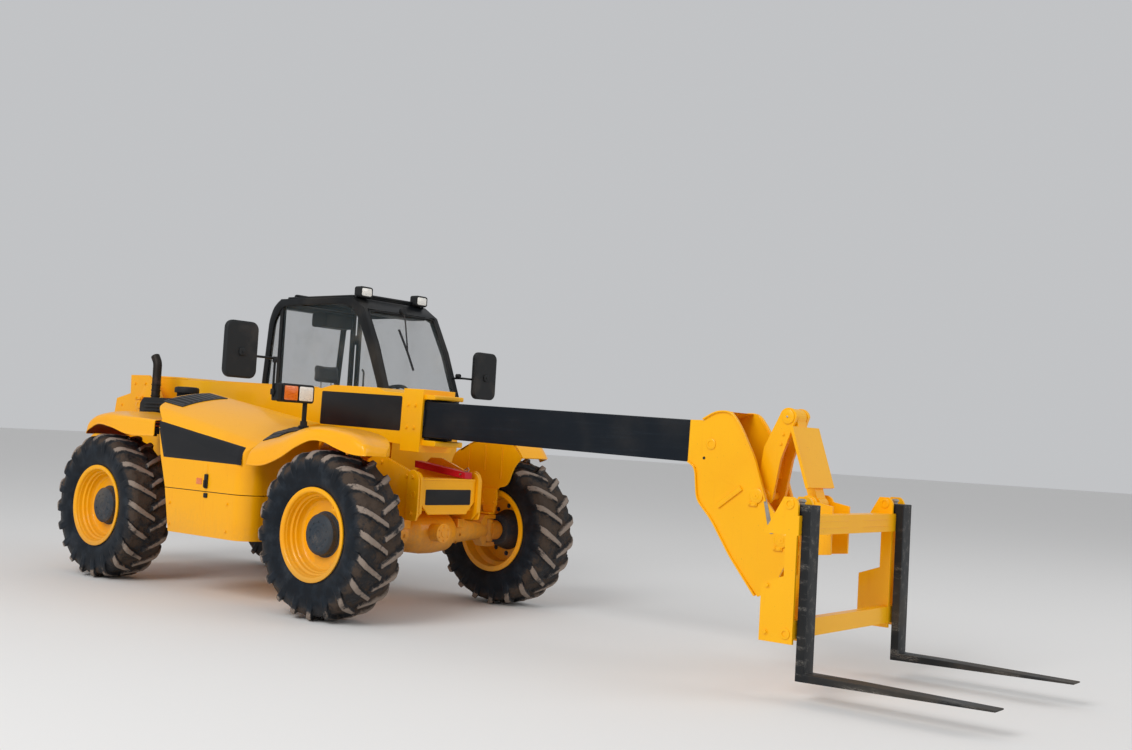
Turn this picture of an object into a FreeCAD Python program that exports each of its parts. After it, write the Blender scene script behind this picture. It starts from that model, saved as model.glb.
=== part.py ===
import FreeCAD, Part
import math
import os
import Sketcher

# Telehandler, millimetres. Sizes are written from the rear axle (x forward, y left, z up
# from the ground) and every piece is set back by mid_x, so that the origin ends under the
# middle of the machine on the ground.

SIZES = [
    # name, value, what it is
    ("wheelbase", 2750.0, "between the axles"),
    ("rear_overhang", 1100.0, "rear axle to the back of the counterweight"),
    ("tyre_radius", 600.0, "over the lugs"),
    ("tyre_half", 200.0, "half width of a tyre"),
    ("wheel_plane", 945.0, "centre line to the middle plane of a wheel"),
    ("rim_flange", 335.0, "radius of the rim's flange"),
    ("rim_seat", 305.0, "radius of the bead seat"),
    ("rim_half", 178.0, "half width over the rim's flanges"),
    ("rim_sheet", 12.0, "thickness of the rim"),
    ("hub_radius", 147.0, "hub reduction housing"),
    ("hub_face", 112.0, "wheel plane to the face of the hub"),
    ("spindle_radius", 60.0, "wheel spindle"),
    ("kingpin_plane", 720.0, "centre line to the steering pins"),
    ("kingpin_radius", 22.0, "steering pin"),
    ("yoke_half", 125.0, "half height of the axle's fork"),
    ("yoke_gap", 95.0, "half height of the opening in the fork"),
    ("axle_bulge", 165.0, "radius of the axle's middle"),
    ("fit", 0.05, "running clearance on a radius"),
    ("gap", 6.0, "clearance between pieces that move past each other"),
    ("seat_gap", 0.3, "clearance of a piece that rests on another"),
    ("frame_half", 325.0, "centre line to the outer face of the chassis"),
    ("frame_plate", 25.0, "chassis side plate"),
    ("belly", 470.0, "underside of the chassis"),
    ("frame_top", 1000.0, "top of the chassis between the axles"),
    ("axle_seat", 705.0, "underside of the chassis over the axles"),
    ("nose_reach", 260.0, "front axle to the front of the chassis"),
    ("pivot_x", -680.0, "boom pivot ahead of the rear axle"),
    ("pivot_z", 1470.0, "boom pivot above the ground"),
    ("boom_slope", 1.3, "degrees that the boom hangs forward"),
    ("boom_half", 165.0, "half width of the outer boom"),
    ("boom_wall", 10.0, "wall of both booms"),
    ("inner_half", 145.0, "half width of the inner boom"),
    ("inner_top", 205.0, "inner boom's top above the pivot line"),
    ("inner_low", 65.0, "inner boom's underside below the pivot line"),
    ("outer_end", 3500.0, "pivot to the mouth of the outer boom"),
    ("inner_start", 2530.0, "pivot to the rear of the inner boom"),
    ("inner_end", 5920.0, "pivot to the boom head"),
    ("head_half", 170.0, "half width of the boom head"),
    ("head_plate", 20.0, "boom head side plate"),
    ("lever_x", 5760.0, "tilt lever's pivot"),
    ("lever_z", 1090.0, "tilt lever's pivot height"),
    ("eye_x", 5900.0, "tilt lever's upper pin"),
    ("eye_z", 1585.0, "tilt lever's upper pin height"),
    ("tilt_x", 5940.0, "carriage pivot"),
    ("tilt_z", 835.0, "carriage pivot height"),
    ("link_x", 6080.0, "link's lower pin"),
    ("link_z", 1060.0, "link's lower pin height"),
    ("pin_radius", 26.0, "pins of the tilt linkage"),
    ("lift_x", 150.0, "lift cylinder's lower pin"),
    ("lift_z", 780.0, "lift cylinder's lower pin height"),
    ("lug_x", 1500.0, "lift cylinder's upper pin"),
    ("lug_z", 1220.0, "lift cylinder's upper pin height"),
    ("barrel_radius", 65.0, "lift cylinder barrel"),
    ("rod_radius", 40.0, "lift cylinder rod"),
    ("lift_pin", 30.0, "radius of the lift cylinder's pins"),
    ("beam_front", 6340.0, "front face of the fork carriage's beam"),
    ("beam_low", 910.0, "underside of the beam"),
    ("beam_top", 1020.0, "top of the beam"),
    ("carriage_half", 705.0, "half width of the fork carriage"),
    ("carriage_plate", 18.0, "carriage plates"),
    ("fork_slot", 165.0, "between the two plates that hold a fork"),
    ("carriage_low", 310.0, "bottom of the uprights"),
    ("fork_length", 1070.0, "blade of a fork"),
    ("fork_thick", 45.0, "fork blade"),
    ("fork_low", 110.0, "underside of the fork blades"),
    ("fork_width", 120.0, "width of a fork"),
    ("side_plane", 1120.0, "centre line to the engine cover's side"),
    ("lip_plane", 1140.0, "centre line to the wings' lips"),
    ("skin", 8.0, "engine cover, wings and lower panel"),
    ("pod_low", 477.0, "bottom of the engine pod"),
    ("split", 819.0, "between the lower panel and the engine cover"),
    ("hood_rear", 580.0, "rear of the engine cover"),
    ("corner", 150.0, "round front corner of the engine pod, seen from above"),
    ("hood_inner", 450.0, "centre line to the cover's hinge edge"),
    ("hinge_line", 16.0, "cover's hinge edge to its hinge pins"),
    ("hinge_level", 1374.0, "height of the cover's hinge pins"),
    ("hinge_pin", 8.0, "radius of the cover's hinge pins"),
    ("bay_wall", 6.0, "cover's hinge edge to the wall of the engine bay"),
    ("hood_rear_top", 1590.0, "hinge edge at the rear"),
    ("hood_front_top", 1384.5, "hinge edge at the front"),
    ("shoulder_rear", 1420.0, "cover's shoulder at the rear"),
    ("shoulder_front", 1155.5, "cover's shoulder at the front"),
    ("pod_setback", 760.0, "front axle to the front of the engine pod"),
    ("cab_right", 220.0, "cab's right side"),
    ("cab_left", 1100.0, "cab's left side"),
    ("cab_sill", 1340.0, "top of the cab's lower body"),
    ("cab_floor", 760.0, "underside of the cab"),
    ("cab_roof", 2480.0, "top of the cab's frame"),
    ("cab_wall", 40.0, "cab frame members"),
    ("glass", 6.0, "window glass"),
    ("door_rear", 600.0, "door's hinge edge"),
    ("door_low", 850.0, "bottom of the door"),
    ("mirror_gap", 90.0, "cab's side to the mirrors"),
    ("mirror_width", 280.0, "width of a mirror"),
    ("cowl_side", 640.0, "centre line to the rear cowl's side"),
    ("lug_top", 38.0, "height of the tread's lugs"),
]


class Dim:
    """A number that also knows the sheet expression it comes from."""

    def __init__(self, value, text):
        self.value = float(value)
        self.text = text

    def _join(self, other, sign, result):
        return Dim(result, "(%s %s %s)" % (self.text, sign, dim(other).text))

    def __add__(self, other):
        return self._join(other, "+", self.value + dim(other).value)

    def __radd__(self, other):
        return dim(other) + self

    def __sub__(self, other):
        return self._join(other, "-", self.value - dim(other).value)

    def __rsub__(self, other):
        return dim(other) - self

    def __mul__(self, other):
        return self._join(other, "*", self.value * dim(other).value)

    def __rmul__(self, other):
        return dim(other) * self

    def __truediv__(self, other):
        return self._join(other, "/", self.value / dim(other).value)

    def __neg__(self):
        return dim(0) - self


def dim(value):
    """Turns a plain number into a Dim."""
    if isinstance(value, Dim):
        return value
    return Dim(value, "(%r)" % float(value))


def cosine(angle):
    return Dim(math.cos(math.radians(angle.value)), "cos(%s * 1 deg)" % angle.text)


def sine(angle):
    return Dim(math.sin(math.radians(angle.value)), "sin(%s * 1 deg)" % angle.text)


def span_of(across, up):
    """Length of a slanted line."""
    return Dim(math.hypot(across.value, up.value),
               "sqrt(%s * %s + %s * %s)" % (across.text, across.text, up.text, up.text))


def lean_of(across, up):
    """Angle of a slanted line to the level, in degrees, for a line that rises forward."""
    return Dim(math.degrees(math.atan(up.value / across.value)),
               "(atan(%s / %s) / 1 deg)" % (up.text, across.text))


doc = FreeCAD.newDocument("Telehandler")
sheet = doc.addObject("Spreadsheet::Sheet", "Sizes")


class Sizes:
    """The driving sizes by name."""


for row, (name, value, meaning) in enumerate(SIZES, start=1):
    sheet.set("A%d" % row, name)
    sheet.set("B%d" % row, repr(value))
    sheet.set("C%d" % row, meaning)
    sheet.setAlias("B%d" % row, name)
    setattr(Sizes, name, Dim(value, "Sizes." + name))
doc.recompute()

S = Sizes
NOSE = S.wheelbase + S.nose_reach
POD_FRONT = S.wheelbase - S.pod_setback
MIRROR_IN = S.cab_left + S.mirror_gap
MID_X = (S.beam_front + S.seat_gap + 50 + S.fork_length - S.rear_overhang) / 2
NODES = []
PLACES = {}


def bind(thing, path, value):
    """Sets a property and ties it to the sheet."""
    thing.setExpression(path, dim(value).text)


def move(thing, x=0.0, y=0.0, z=0.0):
    """Puts a piece at a place that follows the sheet."""
    PLACES[thing.Name] = (dim(x), dim(y), dim(z))
    place = FreeCAD.Placement(thing.Placement)
    place.Base = FreeCAD.Vector(dim(x).value, dim(y).value, dim(z).value)
    thing.Placement = place
    for axis, value in zip("xyz", (x, y, z)):
        bind(thing, "Placement.Base." + axis, value)
    return thing


def arc_centre(start, end, radius):
    """Centre of the shorter arc; a positive radius turns left on the way to the end."""
    half_x = (end[0] - start[0]) / 2
    half_y = (end[1] - start[1]) / 2
    half = math.hypot(half_x, half_y)
    rise = math.sqrt(max(radius * radius - half * half, 0.0))
    side = 1 if radius > 0 else -1
    return (start[0] + half_x - side * rise * half_y / half,
            start[1] + half_y + side * rise * half_x / half)


def draw(sketch, outline):
    """Draws a closed outline. A point is (across, up), or (across, up, radius) where an arc
    of that radius leads to it; a negative radius turns right."""
    count = len(outline)
    spots = [(dim(p[0]).value, dim(p[1]).value) for p in outline]
    first = sketch.GeometryCount
    ends = []
    for index in range(count):
        start = spots[index]
        target = outline[(index + 1) % count]
        end = spots[(index + 1) % count]
        if len(target) == 2:
            sketch.addGeometry(Part.LineSegment(FreeCAD.Vector(*start, 0),
                                                FreeCAD.Vector(*end, 0)))
            ends.append((1, 2))
            continue
        radius = dim(target[2]).value
        cx, cy = arc_centre(start, end, radius)
        begin = math.atan2(start[1] - cy, start[0] - cx)
        finish = math.atan2(end[1] - cy, end[0] - cx)
        if radius < 0:
            begin, finish = finish, begin
        circle = Part.Circle(FreeCAD.Vector(cx, cy, 0), FreeCAD.Vector(0, 0, 1), abs(radius))
        sketch.addGeometry(Part.ArcOfCircle(circle, begin, finish))
        ends.append((1, 2) if radius > 0 else (2, 1))
    rules = []
    ties = []
    for index in range(count):
        edge = first + index
        following = first + (index + 1) % count
        rules.append(Sketcher.Constraint("Coincident", edge, ends[index][1],
                                         following, ends[(index + 1) % count][0]))
        for kind, value in (("DistanceX", outline[index][0]), ("DistanceY", outline[index][1])):
            ties.append((sketch.ConstraintCount + len(rules), value))
            rules.append(Sketcher.Constraint(kind, -1, 1, edge, ends[index][0],
                                             dim(value).value))
        target = outline[(index + 1) % count]
        if len(target) == 3:
            size = target[2] if dim(target[2]).value > 0 else -dim(target[2])
            ties.append((sketch.ConstraintCount + len(rules), size))
            rules.append(Sketcher.Constraint("Radius", edge, dim(size).value))
    sketch.addConstraint(rules)
    for number, value in ties:
        bind(sketch, "Constraints[%d]" % number, value)


def draw_circle(sketch, x, y, radius):
    """Draws a circle tied to the sheet."""
    edge = sketch.GeometryCount
    sketch.addGeometry(Part.Circle(FreeCAD.Vector(dim(x).value, dim(y).value, 0),
                                   FreeCAD.Vector(0, 0, 1), dim(radius).value))
    rules = []
    ties = []
    for kind, value in (("DistanceX", x), ("DistanceY", y)):
        ties.append((sketch.ConstraintCount + len(rules), value))
        rules.append(Sketcher.Constraint(kind, -1, 1, edge, 3, dim(value).value))
    ties.append((sketch.ConstraintCount + len(rules), radius))
    rules.append(Sketcher.Constraint("Radius", edge, dim(radius).value))
    sketch.addConstraint(rules)
    for number, value in ties:
        bind(sketch, "Constraints[%d]" % number, value)


def origin_plane(body, role):
    for feature in body.Origin.OriginFeatures:
        if feature.Role == role:
            return feature
    raise ValueError(role)


def new_sketch(body, role, name, offset=None):
    sketch = body.newObject("Sketcher::SketchObject", name)
    sketch.AttachmentSupport = [(origin_plane(body, role), "")]
    sketch.MapMode = "FlatFace"
    if offset is not None:
        sketch.AttachmentOffset = FreeCAD.Placement(FreeCAD.Vector(0, 0, dim(offset).value),
                                                    FreeCAD.Rotation())
        bind(sketch, "AttachmentOffset.Base.z", offset)
    return sketch


def plate(name, plane, outline, start, end, holes=()):
    """A body of one outline, with round holes (across, up, radius), from start to end along
    the plane's normal: XZ runs along y, XY along z and YZ along x."""
    body = doc.addObject("PartDesign::Body", name)
    sketch = new_sketch(body, plane + "_Plane", name + "_outline")
    draw(sketch, outline)
    for hole in holes:
        draw_circle(sketch, *hole)
    pad = body.newObject("PartDesign::Pad", name + "_pad")
    pad.Profile = sketch
    bind(pad, "Length", dim(end) - start)
    pad.Reversed = plane == "XZ"
    axis = {"XY": "z", "XZ": "y", "YZ": "x"}[plane]
    move(body, **{axis: start})
    return body


def turned(name, outline, centre):
    """A body of revolution about the y direction; the outline holds (y, radius) points."""
    body = doc.addObject("PartDesign::Body", name)
    sketch = new_sketch(body, "YZ_Plane", name + "_outline")
    draw(sketch, outline)
    spin = body.newObject("PartDesign::Revolution", name + "_turn")
    spin.Profile = sketch
    spin.ReferenceAxis = (sketch, ["H_Axis"])
    spin.Angle = 360
    move(body, *centre)
    return body


def lofted(name, sections):
    """A body lofted between outlines (y, z) at their x."""
    body = doc.addObject("PartDesign::Body", name)
    sketches = []
    for number, (offset, outline) in enumerate(sections):
        sketch = new_sketch(body, "YZ_Plane", "%s_section%d" % (name, number), offset)
        draw(sketch, outline)
        sketches.append(sketch)
    loft = body.newObject("PartDesign::AdditiveLoft", name + "_loft")
    loft.Profile = sketches[0]
    loft.Sections = sketches[1:]
    loft.Ruled = True
    return body


def box(name, x, y, z):
    """A block between two values on each axis."""
    block = doc.addObject("Part::Box", name)
    for prop, (low, high) in zip(("Length", "Width", "Height"), (x, y, z)):
        bind(block, prop, dim(high) - low)
    return move(block, x[0], y[0], z[0])


TURNS = {"x": FreeCAD.Rotation(FreeCAD.Vector(0, 1, 0), 90),
         "y": FreeCAD.Rotation(FreeCAD.Vector(1, 0, 0), -90),
         "z": FreeCAD.Rotation()}


def rod(name, axis, start, radius, length, inner=None):
    """A round bar, or a tube where an inner radius is given, along an axis."""
    bar = doc.addObject("Part::Cylinder", name)
    bind(bar, "Radius", radius)
    bind(bar, "Height", length)
    bar.Placement = FreeCAD.Placement(FreeCAD.Vector(), TURNS[axis])
    move(bar, *start)
    if inner is None:
        return bar
    return cut(name + "_tube", bar, rod(name + "_bore", axis, start, inner, length))


def fuse(name, pieces):
    joined = doc.addObject("Part::MultiFuse", name)
    joined.Shapes = pieces
    joined.Refine = True
    return joined


def group(name, pieces):
    """Pieces that don't touch, kept in one node."""
    together = doc.addObject("Part::Compound", name)
    together.Links = pieces
    return together


def common(name, base, tool):
    shared = doc.addObject("Part::Common", name)
    shared.Base = base
    shared.Tool = tool
    return shared


def cut(name, base, *tools):
    result = doc.addObject("Part::Cut", name)
    result.Base = base
    result.Tool = tools[0] if len(tools) == 1 else group(name + "_tools", list(tools))
    return result


def node(label, thing):
    """Registers a finished sub-part and sets it back so that the origin is mid machine."""
    x, y, z = PLACES.get(thing.Name, (dim(0), dim(0), dim(0)))
    thing.Label = label
    move(thing, x - MID_X, y, z)
    NODES.append(thing)


def boom_node(label, thing):
    """Registers a sub-part drawn in the boom's own frame: u along it, w up, from its pivot."""
    thing.Label = label
    thing.Placement = FreeCAD.Placement(FreeCAD.Vector(),
                                        FreeCAD.Rotation(FreeCAD.Vector(0, 1, 0), 1))
    move(thing, S.pivot_x - MID_X, 0, S.pivot_z)
    bind(thing, "Placement.Rotation.Angle", S.boom_slope)
    NODES.append(thing)


def along_boom(x, z):
    """A place of the machine in the boom's frame."""
    across = x - S.pivot_x
    rise = z - S.pivot_z
    turn_cos = cosine(S.boom_slope)
    turn_sin = sine(S.boom_slope)
    return across * turn_cos - rise * turn_sin, across * turn_sin + rise * turn_cos


def sided(side, low, high):
    """A span of y on the left (1) or mirrored to the right (-1)."""
    return (dim(low), dim(high)) if side > 0 else (-dim(high), -dim(low))


def chassis():
    back = -S.rear_overhang
    front_x = S.wheelbase
    outline = [
        (back + 40, 720), (-330, 720), (-230, S.axle_seat), (230, S.axle_seat), (330, 640),
        (480, S.belly), (front_x - 500, S.belly), (front_x - 350, 640),
        (front_x - 230, S.axle_seat),
        (NOSE - 60, S.axle_seat), (NOSE, 765), (NOSE, 1000), (NOSE - 70, 1070, 70),
        (NOSE - 130, 1070), (NOSE - 410, 1165), (NOSE - 530, 1165),
        (NOSE - 760, S.frame_top),
        (500, S.frame_top), (150, 1080), (-330, 1330), (-520, 1690, 330), (-580, 1740),
        (-860, 1740), (-850, 1570), (back + 30, 1520), (back, 1350), (back, 760)]
    sides = []
    for side, tag in ((1, "left"), (-1, "right")):
        start, end = sided(side, S.frame_half - S.frame_plate, S.frame_half)
        sides.append(plate("side_" + tag, "XZ", outline, start, end,
                           [(S.pivot_x, S.pivot_z, S.lift_pin + 12),
                            (S.lift_x, S.lift_z, S.lift_pin)]))
    inside = S.frame_half - S.frame_plate
    span = (-inside, inside)
    pieces = sides + [
        box("belly_plate", (480, front_x - 500), span, (S.belly, S.belly + 12)),
        rod("cross_tube_mid", "y", (1150, -inside, 560), 60, inside * 2),
        rod("cross_tube_front", "y", (front_x - 400, -inside, 760), 60, inside * 2),
        rod("cross_tube_rear", "y", (back + 180, -inside, 1050), 60, inside * 2),
        box("rear_wall", (back + 60, back + 80), span, (760, 1300)),
        box("front_saddle", (front_x - 200, front_x + 200), span,
            (S.tyre_radius + S.axle_bulge + 10, S.tyre_radius + S.axle_bulge + 30)),
        box("rear_saddle", (-200, S.lift_x - 90), span,
            (S.tyre_radius + S.axle_bulge + 10, S.tyre_radius + S.axle_bulge + 30)),
        rod("lift_pin_bar", "y", (S.lift_x, -S.frame_half - 15, S.lift_z), S.lift_pin,
            S.frame_half * 2 + 30),
        rod("pivot_pin_bar", "y", (S.pivot_x, -S.frame_half - 15, S.pivot_z), S.lift_pin + 12,
            S.frame_half * 2 + 30)]
    for side in (1, -1):
        tag = "left" if side > 0 else "right"
        start, end = sided(side, inside - 25, inside)
        pieces.append(rod("pivot_boss_" + tag, "y", (S.pivot_x, start, S.pivot_z), 95, 25))
        start, end = sided(side, S.frame_half, S.frame_half + 10)
        pieces.append(rod("pivot_collar_" + tag, "y", (S.pivot_x, start, S.pivot_z), 72, 10))
        pieces.append(rod("lift_collar_" + tag, "y", (S.lift_x, start, S.lift_z), 52, 10))
        start, end = sided(side, 85, inside)
        pieces.append(rod("lift_spacer_" + tag, "y", (S.lift_x, start, S.lift_z), 48,
                          inside - 85))
    node("chassis_frame", fuse("chassis_fused", pieces))


def front_panel():
    inside = S.frame_half - S.frame_plate
    low = 755
    outline = [(-inside, low + 90), (-inside + 90, low), (inside - 90, low), (inside, low + 90),
               (inside, 1020), (-inside, 1020)]
    panel = plate("nose_plate", "YZ", outline, NOSE - 40, NOSE - 26)
    fold = box("nose_fold", (NOSE - 190, NOSE - 26), (-inside, inside), (1008, 1020))
    node("front_panel", fuse("front_panel_fused", [panel, fold]))


def counterweight():
    back = -S.rear_overhang
    outline = [(back + 80, 560), (back + 340, 560), (back + 340, 700), (back + 300, 1180),
               (back + 100, 1180), (back, 1080, 100), (back, 640)]
    pieces = []
    for side, tag in ((1, "left"), (-1, "right")):
        start, end = sided(side, S.frame_half, 560)
        pieces.append(plate("weight_" + tag, "XZ", outline, start, end))
    slab = box("weight_bottom", (back + 80, back + 340), (-S.frame_half, S.frame_half), (560, 700))
    hitch_out = box("hitch_cheeks", (back + 20, back + 80), (-70, 70), (575, 690))
    hitch_gap = box("hitch_mouth", (back + 19, back + 60), (-45, 45), (595, 620))
    hitch = cut("hitch_jaw", hitch_out, hitch_gap,
                rod("hitch_hole", "z", (back + 45, 0, 560), 16, 150))
    node("counterweight", fuse("counterweight_fused", pieces + [slab, hitch]))


def axle(tag, centre_x):
    """Axle beam: turned housing, nose and a fork at each end for the steering pins."""
    height = S.tyre_radius
    end = S.kingpin_plane - 60
    outline = [(-end, 0), (end, 0), (end, 62), (560, 72), (260, 100), (190, 150),
               (60, S.axle_bulge), (-60, S.axle_bulge), (-190, 150), (-260, 100), (-560, 72),
               (-end, 62)]
    pieces = [turned(tag + "_housing", outline, (centre_x, 0, height))]
    pieces.append(rod(tag + "_nose", "x", (centre_x - 250, -50, height + 10), 68, 500))
    bores = []
    for side, hand in ((1, "left"), (-1, "right")):
        fork = [(side * (end - 70), -70), (side * (end - 20), -S.yoke_half),
                (side * (S.kingpin_plane + 45), -S.yoke_half),
                (side * (S.kingpin_plane + 45), -S.yoke_gap),
                (side * (S.kingpin_plane - 55), -S.yoke_gap),
                (side * (S.kingpin_plane - 55), S.yoke_gap),
                (side * (S.kingpin_plane + 45), S.yoke_gap),
                (side * (S.kingpin_plane + 45), S.yoke_half),
                (side * (end - 20), S.yoke_half), (side * (end - 70), 70)]
        if side < 0:
            fork = [fork[0]] + fork[:0:-1]
        arm = plate("%s_fork_%s" % (tag, hand), "YZ", fork, centre_x - 45, centre_x + 45)
        move(arm, centre_x - 45, 0, height)
        pieces.append(arm)
        bores.append(rod("%s_kingbore_%s" % (tag, hand), "z",
                         (centre_x, side * S.kingpin_plane, height - S.yoke_half - 5),
                         S.kingpin_radius + S.fit, S.yoke_half * 2 + 10))
        start, stop = sided(side, S.frame_half - 70, S.frame_half)
        pieces.append(box("%s_pad_%s" % (tag, hand), (centre_x - 110, centre_x + 110),
                          (start, stop), (height + 40, S.axle_seat)))
    node(tag, cut(tag + "_bored", fuse(tag + "_fused", pieces), *bores))


def knuckle(tag, centre_x, side):
    """Steering knuckle: barrel between the fork's ears, pin and wheel spindle."""
    height = S.tyre_radius
    y = side * S.kingpin_plane
    reach = S.wheel_plane + 58 - S.kingpin_plane
    start = y if side > 0 else y - reach
    root = 100
    root_start = y if side > 0 else y - root
    pieces = [
        rod(tag + "_barrel", "z", (centre_x, y, height - S.yoke_gap + S.gap), 48,
            (S.yoke_gap - S.gap) * 2),
        rod(tag + "_pin", "z", (centre_x, y, height - S.yoke_half), S.kingpin_radius,
            S.yoke_half * 2 + (S.gap if tag == "knuckle_front_left" else 0)),
        rod(tag + "_root", "y", (centre_x, root_start, height), 78, root),
        rod(tag + "_spindle", "y", (centre_x, start, height), S.spindle_radius, reach)]
    node(tag, fuse(tag + "_fused", pieces))


def rim(tag, centre_x, side):
    """Rim with its stepped barrel, wheel disc and hub reduction housing, turned as one."""
    half = S.rim_half
    seat = S.rim_seat
    well = seat - 33
    inner = well - S.rim_sheet
    outline = [
        (half, S.rim_flange), (half - 14, S.rim_flange), (half - 14, seat), (95, seat),
        (70, well), (-60, well), (-85, seat), (14 - half, seat), (14 - half, S.rim_flange),
        (-half, S.rim_flange), (-half, seat - S.rim_sheet), (-92, seat - S.rim_sheet),
        (-66, inner), (26, inner), (30, 240), (30, 165), (-80, 130), (-105, 118),
        (-105, S.spindle_radius + S.fit), (60, S.spindle_radius + S.fit), (60, 0),
        (S.hub_face - 8, 0), (S.hub_face - 8, 62), (S.hub_face, 66),
        (S.hub_face, S.hub_radius - 24), (S.hub_face - 16, S.hub_radius), (44, S.hub_radius),
        (42, 236), (50, 246), (70, inner - 5), (88, inner), (92, well - 3), (116, well),
        (122, seat - 19), (148, seat - 16), (154, seat - S.rim_sheet), (half - 6, seat - 8),
        (half, seat + 4)]
    if side < 0:
        outline = [(-dim(y), radius) for y, radius in outline]
    body = turned(tag + "_turned", outline, (centre_x, side * S.wheel_plane, S.tyre_radius))
    node(tag, body)


MAST_FOOT = dim(1345)      # top of the boss that carries the lamp mast
TREAD = 20      # lugs on each side of a tyre, and flats round its casing


def turned_copies(source, first):
    """Copies of a piece all round the wheel's axis, the first turned by a share of a pitch."""
    copies = []
    for number in range(TREAD):
        copy = group("%s_%d" % (source.Name, number), [source])
        copy.Placement = FreeCAD.Placement(FreeCAD.Vector(), FreeCAD.Rotation(
            FreeCAD.Vector(0, 1, 0), 360 * (number + first) / TREAD))
        copies.append(copy)
    return copies


def tread():
    """Tyre about the origin: a casing of flat sectors on the rim's seat, and slanted lugs
    that run from the shoulders to the middle, those of one side half a pitch behind the
    other's."""
    half = S.tyre_half
    bead = S.rim_half - 14
    top = S.tyre_radius
    seat = S.rim_seat + S.seat_gap
    casing = [(bead, seat), (bead, S.rim_flange + 15), (half - 8, top - 140),
              (half - 48, top - S.lug_top)]
    outline = casing + [(-y, radius) for y, radius in casing[::-1]]
    wide = math.tan(math.pi / TREAD)
    wedge = plate("casing_wedge", "XZ", [(0, 0), (top * wide, top), (top * -wide, top)],
                  -half, half)
    strip = plate("casing_strip", "YZ", outline, -150, 150)
    sector = common("casing_sector", strip, wedge)
    foot = plate("lug_foot", "XY", [(58, -14), (102, -14), (-40, half), (-104, half)],
                 top - 160, top)
    profile = plate("lug_profile", "YZ",
                    [(-14, top - 80), (half - 45, top - 135), (half, top - 62),
                     (half - 42, top - 8.7), (-14, top - 8.7)], -120, 120)
    lug = common("lug_left", foot, profile)
    mirrored = doc.addObject("Part::Mirroring", "lug_right")
    mirrored.Source = lug
    mirrored.Normal = (0, 1, 0)
    return fuse("tyre_form", turned_copies(sector, 0) + turned_copies(lug, 0.5)
                + turned_copies(mirrored, 0))


def tyre(tag, centre_x, side, form):
    node(tag, move(group(tag + "_placed", [form]), centre_x, side * S.wheel_plane,
                   S.tyre_radius))


def wing_shell(name, rows, inner_edge, arch):
    """A wing of rolled sheet on the right side. A row holds x and the heights of its crown,
    its middle, its shoulder, its outer edge and its lip; arch is the outline cut away below."""
    edge = S.lip_plane
    solids = []
    for tag, t in (("outer", dim(0)), ("inner", S.skin)):
        sections = []
        for number, (x, crown_z, middle, shoulder, outer, lip) in enumerate(rows):
            shift = t * ((number == 0) - (number == len(rows) - 1)) * 1.5
            low = 1000 - t * 5
            sections.append((x - shift, [
                (t * 2 - inner_edge, low), (t * 2 - inner_edge, crown_z - t),
                (-0.64 * edge, middle + (crown_z - middle) * 0.55 - t),
                (-0.8 * edge, middle - t), (90 - edge, shoulder - t),
                (30 - edge + t * 0.7, outer - t * 0.7), (t - edge, lip), (t - edge, low)]))
        solids.append(lofted("%s_%s" % (name, tag), sections))
    below = plate(name + "_arch", "XZ", arch, 10 - edge - 20, 10 - S.frame_half + 20)
    return solids[0], solids[1], below


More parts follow.
